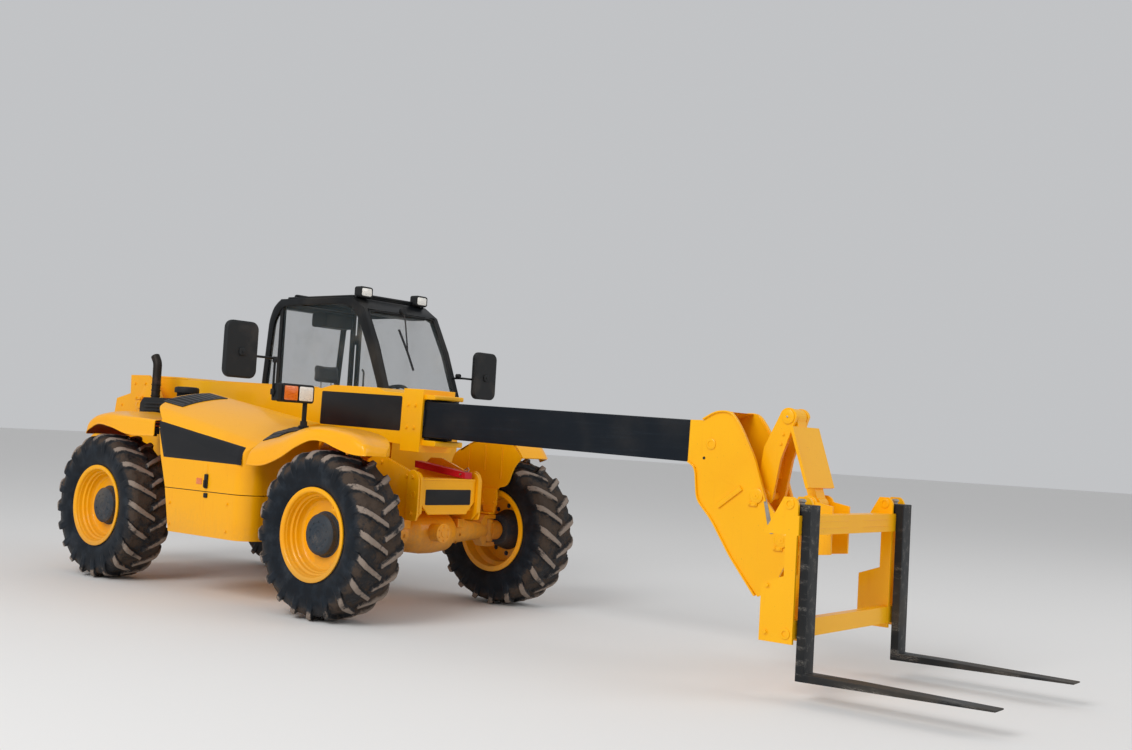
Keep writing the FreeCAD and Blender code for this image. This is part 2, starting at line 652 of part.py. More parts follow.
def wings():
    front_x = S.wheelbase
    rear = POD_FRONT + S.gap
    # x, crown, middle, shoulder, outer edge, lip
    rows = [
        (rear, 1384, 1288, 1200, 1150, 1065), (front_x - 590, 1352, 1300, 1236, 1180, 1085),
        (front_x - 370, 1362, 1336, 1292, 1240, 1150),
        (front_x - 50, 1390, 1384, 1366, 1340, 1292),
        (front_x + 330, 1392, 1388, 1376, 1358, 1318),
        (front_x + 590, 1346, 1342, 1334, 1320, 1288),
        (front_x + 735, 1262, 1259, 1254, 1246, 1226)]
    arch = [(rear - 20, 980), (front_x + 760, 980), (front_x + 760, 1174), (front_x + 427, 1179),
            (front_x + 245, 1220), (front_x + 105, 1269), (front_x - 96, 1253),
            (front_x - 377, 1120), (front_x - 560, 1056), (rear - 20, 1050)]
    outer, inner, below = wing_shell("wing_fr", rows, S.frame_half, arch)
    window = box("louvre_window", (rear + 30, front_x - 600), (-1000, -640), (1150, 1450))
    grid_area = box("louvre_area", (rear + 28, front_x - 598), (-1004, -636), (1150, 1450))
    under = doc.addObject("Part::Compound", "louvre_under")
    under.Links = [inner]
    under.Placement = FreeCAD.Placement()
    move(under, 0, 0, -8)
    depth = cut("louvre_depth", common("louvre_block", outer, grid_area), under)
    slats = []
    count = 6
    pitch = (front_x - 598 - rear - 28) / count
    for number in range(count):
        start = rear + 28 + pitch * number
        slats.append(plate("louvre_slat_%d" % number, "XZ",
                           [(start, 1450), (start - 60, 1150), (start - 46, 1150),
                            (start + 14, 1450)], -1004, -636))
    slat_solids = common("louvre_slats", group("louvre_slat_set", slats), depth)
    sheet_only = cut("wing_fr_open", cut("wing_fr_sheet", outer, inner), window)
    boss = rod("mast_boss", "z", (POD_FRONT + 100, 490 - MIRROR_IN, 1270), 32, MAST_FOOT - 1270)
    wall = box("wing_fr_wall", (rear, rear + S.skin), (-S.side_plane, -S.frame_half),
               (S.split, 1150))
    whole = cut("wing_fr_all", fuse("wing_fr_fused", [sheet_only, slat_solids, boss]), below)
    node("front_right_wing", fuse("front_right_wing_all", [whole, wall]))
    # rear right: arch over the tyre, then a shelf that runs forward to the engine cover
    rows = [
        (-280, 1206, 1203, 1196, 1186, 1160), (-190, 1318, 1314, 1304, 1290, 1262),
        (30, 1402, 1396, 1384, 1368, 1336), (230, 1390, 1386, 1378, 1368, 1346),
        (540, 1356, 1356, 1355, 1354, 1350), (790, 1346, 1345, 1344, 1342, 1336)]
    arch = [(-320, 980), (820, 980), (820, 1208), (390, 1210), (165, 1256), (-37, 1269),
            (-320, 1122)]
    outer, inner, below = wing_shell("wing_rr", rows, S.cowl_side, arch)
    right = cut("wing_rr_all", cut("wing_rr_sheet", outer, inner), below)
    rows = [row for row in rows if row[0] < 300]
    outer, inner, below = wing_shell("wing_rl", rows, S.frame_half, arch)
    left = doc.addObject("Part::Mirroring", "wing_rl_left")
    left.Source = cut("wing_rl_all", cut("wing_rl_sheet", outer, inner), below)
    left.Normal = (0, 1, 0)
    node("rear_wings", group("rear_wings_pair", [right, left]))
    # front left: carried by the steering knuckle
    top = [(front_x + 340, 1200), (front_x + 270, 1290), (front_x + 210, 1330),
           (front_x - 190, 1330), (front_x - 350, 1240)]
    under = [(front_x - 360, 1215), (front_x - 185, 1318), (front_x + 205, 1318),
             (front_x + 260, 1280), (front_x + 310, 1205)]
    inner = S.wheel_plane - S.tyre_half - S.gap
    cover = plate("wing_fl_cover", "XZ", top + under, inner - 15, S.lip_plane)
    cheek = plate("wing_fl_cheek", "XZ",
                  [(front_x - 60, 745), (front_x + 60, 745), (front_x + 80, 950),
                   (front_x + 250, 960), (front_x + 330, 1200), (front_x + 210, 1325),
                   (front_x - 190, 1325), (front_x - 450, 1200), (front_x - 450, 1000),
                   (front_x - 250, 960), (front_x - 80, 950)], inner - 15, inner)
    level = S.tyre_radius + S.yoke_half + S.gap
    foot = plate("wing_fl_foot", "XY", [(front_x - 60, 672), (front_x + 60, 672),
                                        (front_x + 60, inner), (front_x - 60, inner)],
                 level, level + 16)
    node("front_left_wing", fuse("front_left_wing_all", [cover, cheek, foot]))


def hood_outline(top, shoulder, grow):
    """Cover's closed section (y, z): side, rolled shoulder and crown to the hinge edge."""
    side = -S.side_plane + grow
    base = S.split - grow * 5
    return [(-S.hood_inner, base), (-S.hood_inner, top - grow),
            (-S.side_plane + 110 + grow * 0.4, shoulder + 55 - grow, 1700.0),
            (side, shoulder - 90 - grow * 0.5, 260.0), (side, base)]


def crown(x):
    """Height of the cover's hinge edge at an x."""
    fall = (S.hood_rear_top - S.hood_front_top) / (POD_FRONT - S.hood_rear)
    return S.hood_rear_top - (x - S.hood_rear) * fall


def pod_plan(inset, rear, inner):
    """Engine pod from above: a round front corner on the outer side."""
    side = -S.side_plane + inset
    front = POD_FRONT - inset
    return [(rear, inner), (rear, side), (front - S.corner, side),
            (front, side + S.corner, S.corner), (front, inner)]


def engine_cover():
    rear_edge = [(S.hood_rear - 60, 1800), (S.hood_rear - 60, S.split - 60),
                 (973, S.split - 60), (970, S.split + 6), (880, 1070), (825, 1350), (690, 1440),
                 (S.hood_rear, 1540), (S.hood_rear, 1800)]
    wide = (-S.side_plane - 60, -S.hood_inner + 60)
    solids = []
    for tag, grow in (("outer", dim(0)), ("inner", S.skin)):
        body = lofted("hood_" + tag, [
            (S.hood_rear, hood_outline(S.hood_rear_top, S.shoulder_rear, grow)),
            (POD_FRONT, hood_outline(S.hood_front_top, S.shoulder_front, grow))])
        plan = plate("hood_plan_" + tag, "XY",
                     pod_plan(grow, S.hood_rear - 20, -S.hood_inner + grow), 700, 1800)
        slant = plate("hood_slant_" + tag, "XZ",
                      [(x if number < 2 else x + grow, z)
                       for number, (x, z) in enumerate(rear_edge)], wide[0], wide[1])
        solids.append(cut("hood_solid_" + tag, common("hood_form_" + tag, body, plan), slant))
    slots = []
    for number in range(7):
        start = S.hood_rear + 50 + number * 33
        slots.append(box("hood_slot_%d" % number, (start, start + 17),
                         (-S.hood_inner - 470, -S.hood_inner - 70),
                         (S.shoulder_rear, S.hood_rear_top + 40)))
    knuckles, brackets = hood_hinge()
    node("hood", fuse("hood_fused", [cut("hood_shell", solids[0], solids[1], *slots)] + knuckles))
    return brackets


def hood_hinge():
    """Two level hinges inside the cover: goose-neck arms hang from its inner edge to the
    pins. Gives what the cover carries and what the bay wall carries."""
    knuckles = []
    brackets = []
    line = -S.hood_inner + S.hinge_line
    for number, start in enumerate((dim(930), POD_FRONT - 300)):
        eye = rod("hood_knuckle_%d" % number, "x", (start, line, S.hinge_level), 15, 60)
        arm = plate("hood_neck_%d" % number, "XZ",
                    [(start, S.hinge_level), (start + 60, S.hinge_level),
                     (start + 60, crown(start + 60) - 2), (start, crown(start) - 2)],
                    -S.hood_inner - 3, -S.hood_inner + 9)
        bore = rod("hood_knuckle_bore_%d" % number, "x", (start - 5, line, S.hinge_level),
                   S.hinge_pin + S.fit, 70)
        knuckles.append(cut("hood_hinge_%d" % number, fuse("hood_eye_%d" % number, [eye, arm]),
                            bore))
        brackets.append(rod("hood_pin_%d" % number, "x", (start - 38, line, S.hinge_level),
                            S.hinge_pin, 136))
        for side, low in (("a", start - 38), ("b", start + 63)):
            brackets.append(rod("hood_bracket_eye_%d%s" % (number, side), "x",
                                (low, line, S.hinge_level), 14, 35))
            brackets.append(box("hood_bracket_%d%s" % (number, side), (low, low + 35),
                                (-S.hood_inner - S.bay_wall - 2, line),
                                (S.hinge_level - 30, S.hinge_level - S.hinge_pin)))
    return knuckles, brackets


def engine_pod():
    brackets = engine_cover()
    # lower panel: a tray with a slanted rear and a round front corner
    t = S.skin
    profile = [(1050, S.pod_low), (POD_FRONT, S.pod_low), (POD_FRONT, S.split - S.gap),
               (972, S.split - S.gap)]
    inner_profile = [(1050 + t, S.pod_low + t), (POD_FRONT - t, S.pod_low + t),
                     (POD_FRONT - t, S.split + 20), (972 + t, S.split + 20)]
    outer = common("tray_outer", plate("tray_side", "XZ", profile, -S.side_plane, -S.frame_half),
                   plate("tray_plan", "XY", pod_plan(dim(0), 900, -S.frame_half), S.pod_low,
                         S.split))
    inner = common("tray_inner",
                   plate("tray_side_in", "XZ", inner_profile, -S.side_plane, -S.frame_half),
                   plate("tray_plan_in", "XY", pod_plan(t, 900, -S.frame_half - t), S.pod_low,
                         S.split + 30))
    # wall along the cover's hinge edge, on a ledge that runs out from the chassis
    end = POD_FRONT - t - S.gap
    step = S.split - S.gap
    under = t + S.gap + 2
    wall_side = -S.hood_inner - S.bay_wall
    wall = plate("bay_side", "XZ",
                 [(990, step - t), (end, step - t), (end, crown(end) - under),
                  (850, crown(dim(850)) - under), (850, 1362), (858, 1350), (908, 1090)],
                 wall_side - t, wall_side)
    ledge = box("bay_ledge", (990, end), (wall_side - t, -S.frame_half), (step - t, step))
    node("lower_panel", fuse("lower_panel_fused", [cut("lower_panel_tray", outer, inner),
                                                   wall, ledge] + brackets))
    engine = box("engine", (1080, POD_FRONT - 210), (-900, wall_side - t - S.gap), (S.pod_low + t, 1130))
    node("engine_block", engine)


def rear_cowl():
    low = S.tyre_radius * 2 + 15
    outline = [(-200, low), (570, low), (570, 1500), (500, 1530), (-150, 1530), (-200, 1480)]
    cowl = plate("cowl_body", "XZ", outline, -S.cowl_side, -S.frame_half)
    intake = rod("intake", "z", (250, -480, 1530), 75, 60)
    cap = rod("intake_cap", "z", (250, -480, 1590), 100, 40)
    node("rear_cowl", fuse("rear_cowl_fused", [cowl, intake, cap]))
    stack = rod("stack", "z", (-290, -430, 1190), 38, 600, inner=32)
    foot = box("stack_foot", (-320, -260), (-396, -S.frame_half), (1215, 1285))
    node("exhaust", fuse("exhaust_fused", [stack, foot]))


DOOR_HINGES = (dim(1420), S.cab_roof - 330)


# the front posts' knee, and the left mirror's bar on the slant above it
KNEE = S.cab_sill + (S.cab_roof - S.cab_sill) * 0.2982
POST_TOP = S.cab_roof - 410
MIRROR_BAR = KNEE + (POST_TOP - KNEE) * 0.436


def cab_side(t, foot):
    """The cab's side outline, moved in by t; its front follows the front axle and its top
    the roof."""
    rear = S.door_rear - 230
    front = S.wheelbase - 740
    top = S.cab_roof
    return [(rear + t, foot), (rear + t, 1720), (rear + 50 + t, top - 190 - t * 0.25),
            (rear + 100 + t, top - 70 - t * 1.2), (rear + 190 + t * 0.5, top - t),
            (front - 510 - t * 0.5, top - t), (front - 350 - t * 1.2, top - 100 - t * 0.5),
            (front - 180 - t * 1.15, POST_TOP - t * 0.3), (front - 20 - t, KNEE),
            (front - t, foot)]


def cab():
    wall = S.cab_wall
    front_x = S.wheelbase - 740
    inside = cab_side(wall, S.cab_sill + wall)
    room = (S.cab_right + wall, S.cab_left - wall)
    shell = plate("cab_outer", "XZ", cab_side(dim(0), S.cab_sill), S.cab_right, S.cab_left)
    hollow = plate("cab_hollow", "XZ", inside, *room)
    side_window = plate("cab_side_window", "XZ", inside, S.cab_right - 10, S.cab_left + 10)
    low = S.cab_sill + wall
    front = box("cab_front_window", (1200, front_x + 90), room, (low, S.cab_roof - 2.5 * wall))
    rear = box("cab_rear_window", (300, 700), room, (low, S.cab_roof - 2 * wall))
    top = box("cab_top_window", (640, front_x - 570), room,
              (S.cab_roof - 2 * wall, S.cab_roof + 50))
    door_gap = box("cab_door_gap", (S.door_rear, front_x - 210),
                   (S.cab_left - wall - 5, S.cab_left + 10), (S.cab_sill - 10, low + 10))
    floor = box("cab_floor_gap", (S.door_rear - 230 + wall, front_x - wall),
                (S.frame_half + 30, S.cab_left - wall), (S.cab_sill - 10, low + 10))
    cage = cut("cab_cage", shell, hollow, side_window, front, rear, top, door_gap, floor)
    post = box("cab_post", (S.door_rear - wall, S.door_rear - S.gap),
               (S.cab_left - wall, S.cab_left), (S.cab_sill + 5, S.cab_roof - 5))
    post_right = box("cab_post_right", (S.door_rear - wall, S.door_rear),
                     (S.cab_right, S.cab_right + wall), (S.cab_sill + 5, S.cab_roof - 5))
    brackets = []
    for number, z in enumerate(DOOR_HINGES):
        brackets.append(box("hinge_bracket_%d" % number,
                            (S.door_rear - 48, S.door_rear - 22 - S.seat_gap),
                            (S.cab_left - 5, S.cab_left + S.gap + 24), (z, z + 90)))
    node("cab_frame", fuse("cab_frame_fused", [cage, post, post_right] + brackets))
    roof = plate("roof_panel", "XY",
                 [(600, S.cab_right + 60), (630, S.cab_right + 30, 30),
                  (front_x - 560, S.cab_right + 30), (front_x - 530, S.cab_right + 60, 30),
                  (front_x - 530, S.cab_left - 60), (front_x - 560, S.cab_left - 30, 30),
                  (630, S.cab_left - 30), (600, S.cab_left - 60, 30)],
                 S.cab_roof, S.cab_roof + 20)
    node("cab_roof", roof)


def cab_lower():
    t = 30
    low = S.cab_floor
    rear = S.door_rear - 230
    front = S.wheelbase - 750
    outline = [(740, low), (front - 80, low), (front - 15, 1000), (front, S.cab_sill),
               (rear, S.cab_sill), (rear, 1220), (460, 1170), (545, 1105), (640, 1000), (715, 860)]
    inner = [(740 + t, low + t), (front - 80 - t, low + t), (front - 15 - t, 1000),
             (front - t, S.cab_sill + 10), (rear + t, S.cab_sill + 10),
             (rear + t, 1235), (475, 1192), (565, 1125), (665, 1012), (743, 870)]
    sill = S.cab_sill + 10
    tub = cut("tub", plate("tub_outer", "XZ", outline, S.frame_half, S.cab_left),
              plate("tub_inner", "XZ", inner, S.frame_half + t, S.cab_left - t),
              plate("tub_door_gap", "XZ", [
                  (760, S.door_low - S.gap), (front - 210, S.door_low - S.gap),
                  (front - 200, sill), (S.door_rear, sill), (S.door_rear, 1110), (690, 1010)],
                    S.cab_left - t - 5, S.cab_left + 5))
    ledge = box("tub_ledge", (rear, front), (S.cab_right, S.frame_half + 5),
                (S.cab_sill - 30, S.cab_sill))
    node("cab_lower", fuse("cab_lower_fused", [tub, ledge]))


COLUMN_LEAN = 35
COLUMN_TURN = FreeCAD.Rotation(FreeCAD.Vector(0, 1, 0), -COLUMN_LEAN)


def on_column(thing, along, y):
    """Lays a piece on the steering column's line, which leans back from the dash."""
    thing.Placement = FreeCAD.Placement(FreeCAD.Vector(), COLUMN_TURN)
    lean = math.radians(COLUMN_LEAN)
    spot = (S.wheelbase - 1070 - along * math.sin(lean), dim(y),
            dim(1372 + along * math.cos(lean)))
    move(thing, *spot)
    return spot


def steering_bar(name, radius, start, length, y):
    bar = doc.addObject("Part::Cylinder", name)
    bind(bar, "Radius", radius)
    bind(bar, "Height", length)
    on_column(bar, dim(start).value, y)
    return bar


def cab_inside():
    floor = S.cab_floor + 30
    middle = (S.cab_left + S.frame_half) / 2
    front = S.wheelbase - 820
    dash = plate("dash", "XZ", [
        (front - 370, floor), (front - 50, floor), (front, 1240), (front - 130, 1400),
        (front - 230, 1420), (front - 290, 1330), (front - 270, 1000)],
                 S.frame_half + 35, S.cab_left - 80)
    socket = steering_bar("column_socket", 24 + S.seat_gap, -60, 300, middle)
    dash = cut("dash_bored", dash, socket)
    pedestal = box("seat_pedestal", (785, 1160), (middle - 190, middle + 190), (floor, 1090))
    node("cab_inside", group("cab_inside_pair", [dash, pedestal]))
    column = steering_bar("column", 24, -60 + S.seat_gap, 390 - S.seat_gap, middle)
    wheel = doc.addObject("Part::Torus", "steering_ring")
    bind(wheel, "Radius1", 185)
    bind(wheel, "Radius2", 16)
    hang = on_column(wheel, 330, middle)
    spokes = []
    for turn in (0, 60, 120):
        spoke = doc.addObject("Part::Box", "spoke_%d" % turn)
        bind(spoke, "Length", 370)
        bind(spoke, "Width", 26)
        bind(spoke, "Height", 10)
        around = COLUMN_TURN.multiply(FreeCAD.Rotation(FreeCAD.Vector(0, 0, 1), turn))
        corner = around.multVec(FreeCAD.Vector(-185, -13, -5))
        spoke.Placement = FreeCAD.Placement(corner, around)
        spokes.append(move(spoke, *[low + step for low, step in zip(hang, corner)]))
    node("steering_wheel", fuse("steering_wheel_fused", [column, wheel] + spokes))
    cushion = box("cushion", (730, 1200), (middle - 240, middle + 240), (1090.3, 1200))
    back = plate("backrest", "XZ", [(700, 1200.3), (800, 1200.3), (720, 1720), (640, 1700)],
                 middle - 230, middle + 230)
    node("seat", group("seat_pair", [cushion, back]))


def glass_panes():
    wall = S.cab_wall
    foot = S.cab_sill + wall + S.seat_gap
    pane = plate("pane_right", "XZ", cab_side(wall + S.seat_gap, foot), S.cab_right + 12,
                 S.cab_right + 12 + S.glass)
    pane_right = cut("panes_right", pane,
                     box("pane_no_post", (S.door_rear - wall - S.seat_gap, S.door_rear + S.seat_gap),
                         (S.cab_right, S.cab_right + wall), (S.cab_sill, S.cab_roof)))
    front_x = S.wheelbase - 740
    depth = dim(12)
    shell = plate("pane_shell", "XZ", cab_side(depth, S.cab_sill + depth),
                  S.cab_right + wall, S.cab_left - wall)
    hollow = plate("pane_hollow", "XZ", cab_side(depth + S.glass, S.cab_sill + depth + S.glass),
                   S.cab_right, S.cab_left)
    strip = cut("pane_strip", shell, hollow,
                box("pane_no_floor", (300, front_x + 90), (S.cab_right, S.cab_left),
                    (S.cab_sill, S.cab_sill + wall)),
                box("pane_no_rear_top", (300, 640), (S.cab_right, S.cab_left),
                    (S.cab_roof - 2 * wall, S.cab_roof + 20)),
                box("pane_no_front_top", (front_x - 570, front_x - 310), (S.cab_right, S.cab_left),
                    (S.cab_roof - 2.5 * wall, S.cab_roof + 20)))
    node("cab_glass", group("cab_glass_set", [pane_right, strip]))


def door():
    t = S.cab_wall
    front = S.wheelbase - 740
    top = S.cab_roof
    outline = [(768, S.door_low), (front - 230, S.door_low), (front - 60, 1330),
               (front - 75, KNEE), (front - 240, POST_TOP), (front - 420, top - 100),
               (front - 530, top - t - S.gap), (S.door_rear, top - t - S.gap),
               (S.door_rear, 1115), (696, 1014)]
    window = [(S.door_rear + t, 1380), (front - 105, 1380), (front - 120, KNEE - 10),
              (front - 282, POST_TOP - 20), (front - 450, top - 135),
              (front - 555, top - 2 * t - S.gap), (S.door_rear + t, top - 2 * t - S.gap)]
    leaf = plate("door_leaf", "XZ", outline, S.cab_left + S.gap, S.cab_left + S.gap + 30)
    gap = plate("door_window", "XZ", window, S.cab_left, S.cab_left + 60)
    hinges = []
    for number, z in enumerate(DOOR_HINGES):
        hinges.append(rod("door_hinge_%d" % number, "z",
                          (S.door_rear - 8, S.cab_left + S.gap + 15, z), 14, 90))
    handle = box("door_handle", (front - 330, front - 210), (S.cab_left + S.gap + 30,
                                                            S.cab_left + S.gap + 62), (1300, 1325))
    node("door", fuse("door_fused", [cut("door_cut", leaf, gap), handle] + hinges))
    node("door_glass", plate("door_pane", "XZ", window, S.cab_left + S.gap + 12,
                             S.cab_left + S.gap + 12 + S.glass))


def rounded(name, x, y, z, radius):
    """A block whose edges along x are rounded."""
    low_y, high_y, low_z, high_z = y[0], y[1], z[0], z[1]
    return plate(name, "YZ", [
        (low_y + radius, low_z, radius), (high_y - radius, low_z),
        (high_y, low_z + radius, radius), (high_y, high_z - radius),
        (high_y - radius, high_z, radius), (low_y + radius, high_z),
        (low_y, high_z - radius, radius), (low_y, low_z + radius)], x[0], x[1])


def lights_and_mirrors():
    front = S.wheelbase - 740
    mast_x = POD_FRONT + 100
    mast_y = 490 - MIRROR_IN
    arm_y = 190 - MIRROR_IN
    lamps = []
    for number, y in enumerate((S.cab_right + 110, S.cab_left - 110)):
        lamps.append(rounded("work_lamp_%d" % number, (front - 530, front - 450),
                             (y - 70, y + 70), (S.cab_roof, S.cab_roof + 95), 22))
    lamps.append(rounded("right_lamp", (mast_x - 40, mast_x + 40), (mast_y - 250, mast_y + 50),
                         (1530, 1670), 16))
    lamps.append(rounded("left_lamp", (front - 5.5, front + 74),
                         (S.cab_left - 260, S.cab_left - 20), (1440, 1560), 16))
    node("lamps", group("lamp_set", lamps))
    mast = rod("lamp_mast", "z", (mast_x, mast_y, MAST_FOOT + S.seat_gap), 18,
               1530 - MAST_FOOT - S.seat_gap)
    arm = rod("mirror_arm", "z", (mast_x - 15, arm_y, 1560), 9, 300)
    reach = rod("mirror_reach_bar", "y", (mast_x - 15, -MIRROR_IN, 1850), 9, 198)
    link = rod("mirror_link", "y", (mast_x, arm_y, 1600), 12, 50)
    left_arm = rod("left_mirror_bar", "y", (front + 30, S.cab_left - 34, MIRROR_BAR), 9,
                   S.mirror_gap + 34)
    left_foot = rod("left_mirror_foot", "x", (front - 85.5, S.cab_left - 25, MIRROR_BAR), 9, 124)
    node("lamp_bracket", group("bracket_set", [
        fuse("right_bracket", [mast, arm, reach, link]),
        fuse("left_bracket", [left_arm, left_foot])]))
    mirrors = []
    for side, tag, x, bar in ((1, "left", front + 20, MIRROR_BAR),
                              (-1, "right", mast_x - 25, dim(1850))):
        start, end = sided(side, MIRROR_IN, MIRROR_IN + S.mirror_width)
        mirrors.append(rounded("mirror_" + tag, (x, x + 50), (start, end),
                               (bar - 170, bar + 245), 60))
    node("mirrors", group("mirror_pair", mirrors))


def tank():
    outline = [(800, 500), (1560, 500), (1600, 560, 60), (1600, 745), (760, 745), (760, 560)]
    body = plate("tank_body", "XZ", outline, S.frame_half, S.cab_left - 180)
    step = plate("step_body", "XZ", [(1180, 440), (1500, 440), (1500, 470), (1400, 500),
                                     (1280, 500), (1180, 470)], S.cab_left - 300, S.cab_left - 20)
    node("tank", fuse("tank_fused", [body, step]))


def outer_boom():
    half = S.boom_half
    wall = S.boom_wall
    mouth = S.outer_end
    lug_u, lug_w = along_boom(S.lug_x, S.lug_z)
    outline = [(-70, -95), (1650, -95), (mouth - 220, -135), (mouth, -135), (mouth, 262),
               (mouth - 430, 262), (mouth - 520, 290), (mouth - 1050, 290), (mouth - 1180, 258),
               (480, 255), (430, 275), (-40, 275), (-75, 240)]
    case = plate("boom_case", "XZ", outline, -half, half)
    collar = plate("boom_collar", "XZ", [(mouth - 210, -183), (mouth, -183), (mouth, 297),
                                         (mouth - 210, 297)], -half - 10, half + 10)
    play = S.inner_half + wall
    bore = box("boom_bore", (90, mouth + 10), (-play, play), (-S.inner_low - 10, S.inner_top + 10))
    pads = []
    slide = 0.4
    for number, (y, z) in enumerate((
            ((-120, 120), (S.inner_top + slide, S.inner_top + 12)),
            ((-120, 120), (-S.inner_low - 12, -S.inner_low - slide)),
            ((S.inner_half + slide, play + 2), (20, 140)),
            ((-play - 2, -S.inner_half - slide), (20, 140)))):
        pads.append(box("slide_pad_%d" % number, (mouth - 190, mouth - 20), y, z))
    tube = rod("pivot_tube", "y", (0, -S.frame_half + S.frame_plate + 25 + S.gap, 0), 85,
               (S.frame_half - S.frame_plate - 25 - S.gap) * 2)
    lugs = []
    for side, tag in ((1, "left"), (-1, "right")):
        start, end = sided(side, 58, 112)
        lugs.append(rod("lift_top_stub_" + tag, "y", (lug_u, start, lug_w), S.lift_pin, 54))
        start, end = sided(side, 72, 102)
        lugs.append(plate("lift_lug_" + tag, "XZ",
                          [(lug_u - 180, -94), (lug_u - 60, lug_w - 50), (lug_u + 60, lug_w - 50, 78),
                           (lug_u + 200, -94)], start, end))
    solid = fuse("boom_fused", [cut("boom_hollow", fuse("boom_outer_all", [case, collar]), bore),
                                tube] + lugs + pads)
    boom_node("outer_boom", cut("boom_bored", solid,
                                rod("pivot_bore", "y", (0, -400, 0), S.lift_pin + 12 + S.fit, 800)))


def inner_boom():
    half = S.inner_half
    wall = S.boom_wall
    outer = box("inner_outside", (S.inner_start, S.inner_end), (-half, half),
                (-S.inner_low, S.inner_top))
    inside = box("inner_inside", (S.inner_start - 5, S.inner_end + 5), (wall - half, half - wall),
                 (wall - S.inner_low, S.inner_top - wall))
    boom_node("inner_boom", cut("inner_hollow", outer, inside))


def boom_head():
    half = S.head_half
    t = S.head_plate
    start = S.inner_end
    tilt_u, tilt_w = along_boom(S.tilt_x, S.tilt_z)
    lever_u, lever_w = along_boom(S.lever_x, S.lever_z)
    outline = [
        (start, S.inner_top), (start + 100, 208), (start + 190, 268), (start + 300, 272),
        (start + 375, 180), (start + 490, -12), (start + 590, -260), (tilt_u - 10, tilt_w + 105),
        (tilt_u + 75, tilt_w + 75), (tilt_u + 100, tilt_w), (tilt_u + 80, tilt_w - 75),
        (tilt_u + 20, tilt_w - 170), (tilt_u - 40, tilt_w - 305), (tilt_u - 140, tilt_w - 360),
        (start + 357, -618), (start + 210, -411), (start + 90, -297), (start + 65, -96),
        (start, -S.inner_low)]
    body = plate("head_body", "XZ", outline, -half, half)
    inner = [
        (start - 10, S.inner_top - 20), (start + 110, 185), (start + 190, 240), (start + 230, 250),
        (start + 330, 300), (start + 740, 300), (start + 1000, tilt_w - 400),
        (tilt_u - 120, tilt_w - 400), (tilt_u - 170, tilt_w - 320), (start + 385, -600),
        (start + 236, -400), (start + 112, -290), (start + 86, -90), (start + 20, 20 - S.inner_low),
        (start - 10, 20 - S.inner_low)]
    gap = plate("head_gap", "XZ", inner, t - half, half - t)
    pins = [rod("tilt_pin", "y", (tilt_u, -half - 12, tilt_w), S.pin_radius, half * 2 + 24),
            rod("lever_pin", "y", (lever_u, -half - 12, lever_w), S.pin_radius, half * 2 + 24)]
    boom_node("boom_head", fuse("head_fused", [cut("head_open", body, gap)] + pins))


def tilt_linkage():
    r = S.pin_radius
    x0, z0, x1, z1 = S.lever_x, S.lever_z, S.eye_x, S.eye_z
    outline = [(x0 - 58, z0 + 10), (x0 + 58, z0 - 10, 59), (x0 + 100, z0 + 230), (x1 + 58, z1 + 5),
               (x1 - 58, z1 + 10, 59), (x0 - 20, z0 + 300)]
    plates = []
    for side, tag in ((1, "left"), (-1, "right")):
        start, end = sided(side, 62, 88)
        plates.append(plate("lever_plate_" + tag, "XZ", outline, start, end,
                            [(x0, z0, r + S.fit)]))
    web = plate("lever_web", "XZ", [(x0 - 10, z0 + 110), (x0 + 30, z0 + 110), (x0 + 60, z0 + 340),
                                    (x0 + 20, z0 + 340)], -63, 63)
    pin = rod("eye_pin", "y", (x1, -98, z1), r, 196)
    node("tilt_lever", fuse("lever_fused", plates + [web, pin]))
    x0, z0 = S.link_x, S.link_z
    run = span_of(x1 - x0, z1 - z0)
    # unit direction up the link
    dx = (x1 - x0) / run
    dz = (z1 - z0) / run

    def spot(along, out):
        return (x0 + dx * along + dz * out, z0 + dz * along - dx * out)

    wide = [spot(90, 55), spot(run - 80, 55), spot(run - 80, 35), spot(90, 35)]
    wide.reverse()
    strap = [spot(0, 36), spot(run, 36), spot(run, -20), spot(0, -20)]
    strap.reverse()
    pieces = [plate("link_wide", "XZ", wide, -S.head_half, S.head_half),
              plate("link_strap", "XZ", strap, -54, 54),
              rod("link_low_eye", "y", (x0, -54, z0), 48, 108),
              rod("link_top_eye", "y", (x1, -54, z1), 52, 108)]
    node("tilt_link", cut("link_bored", fuse("link_fused", pieces),
                          rod("link_low_bore", "y", (x0, -60, z0), r + S.fit, 120),
                          rod("link_top_bore", "y", (x1, -60, z1), r + S.fit, 120)))


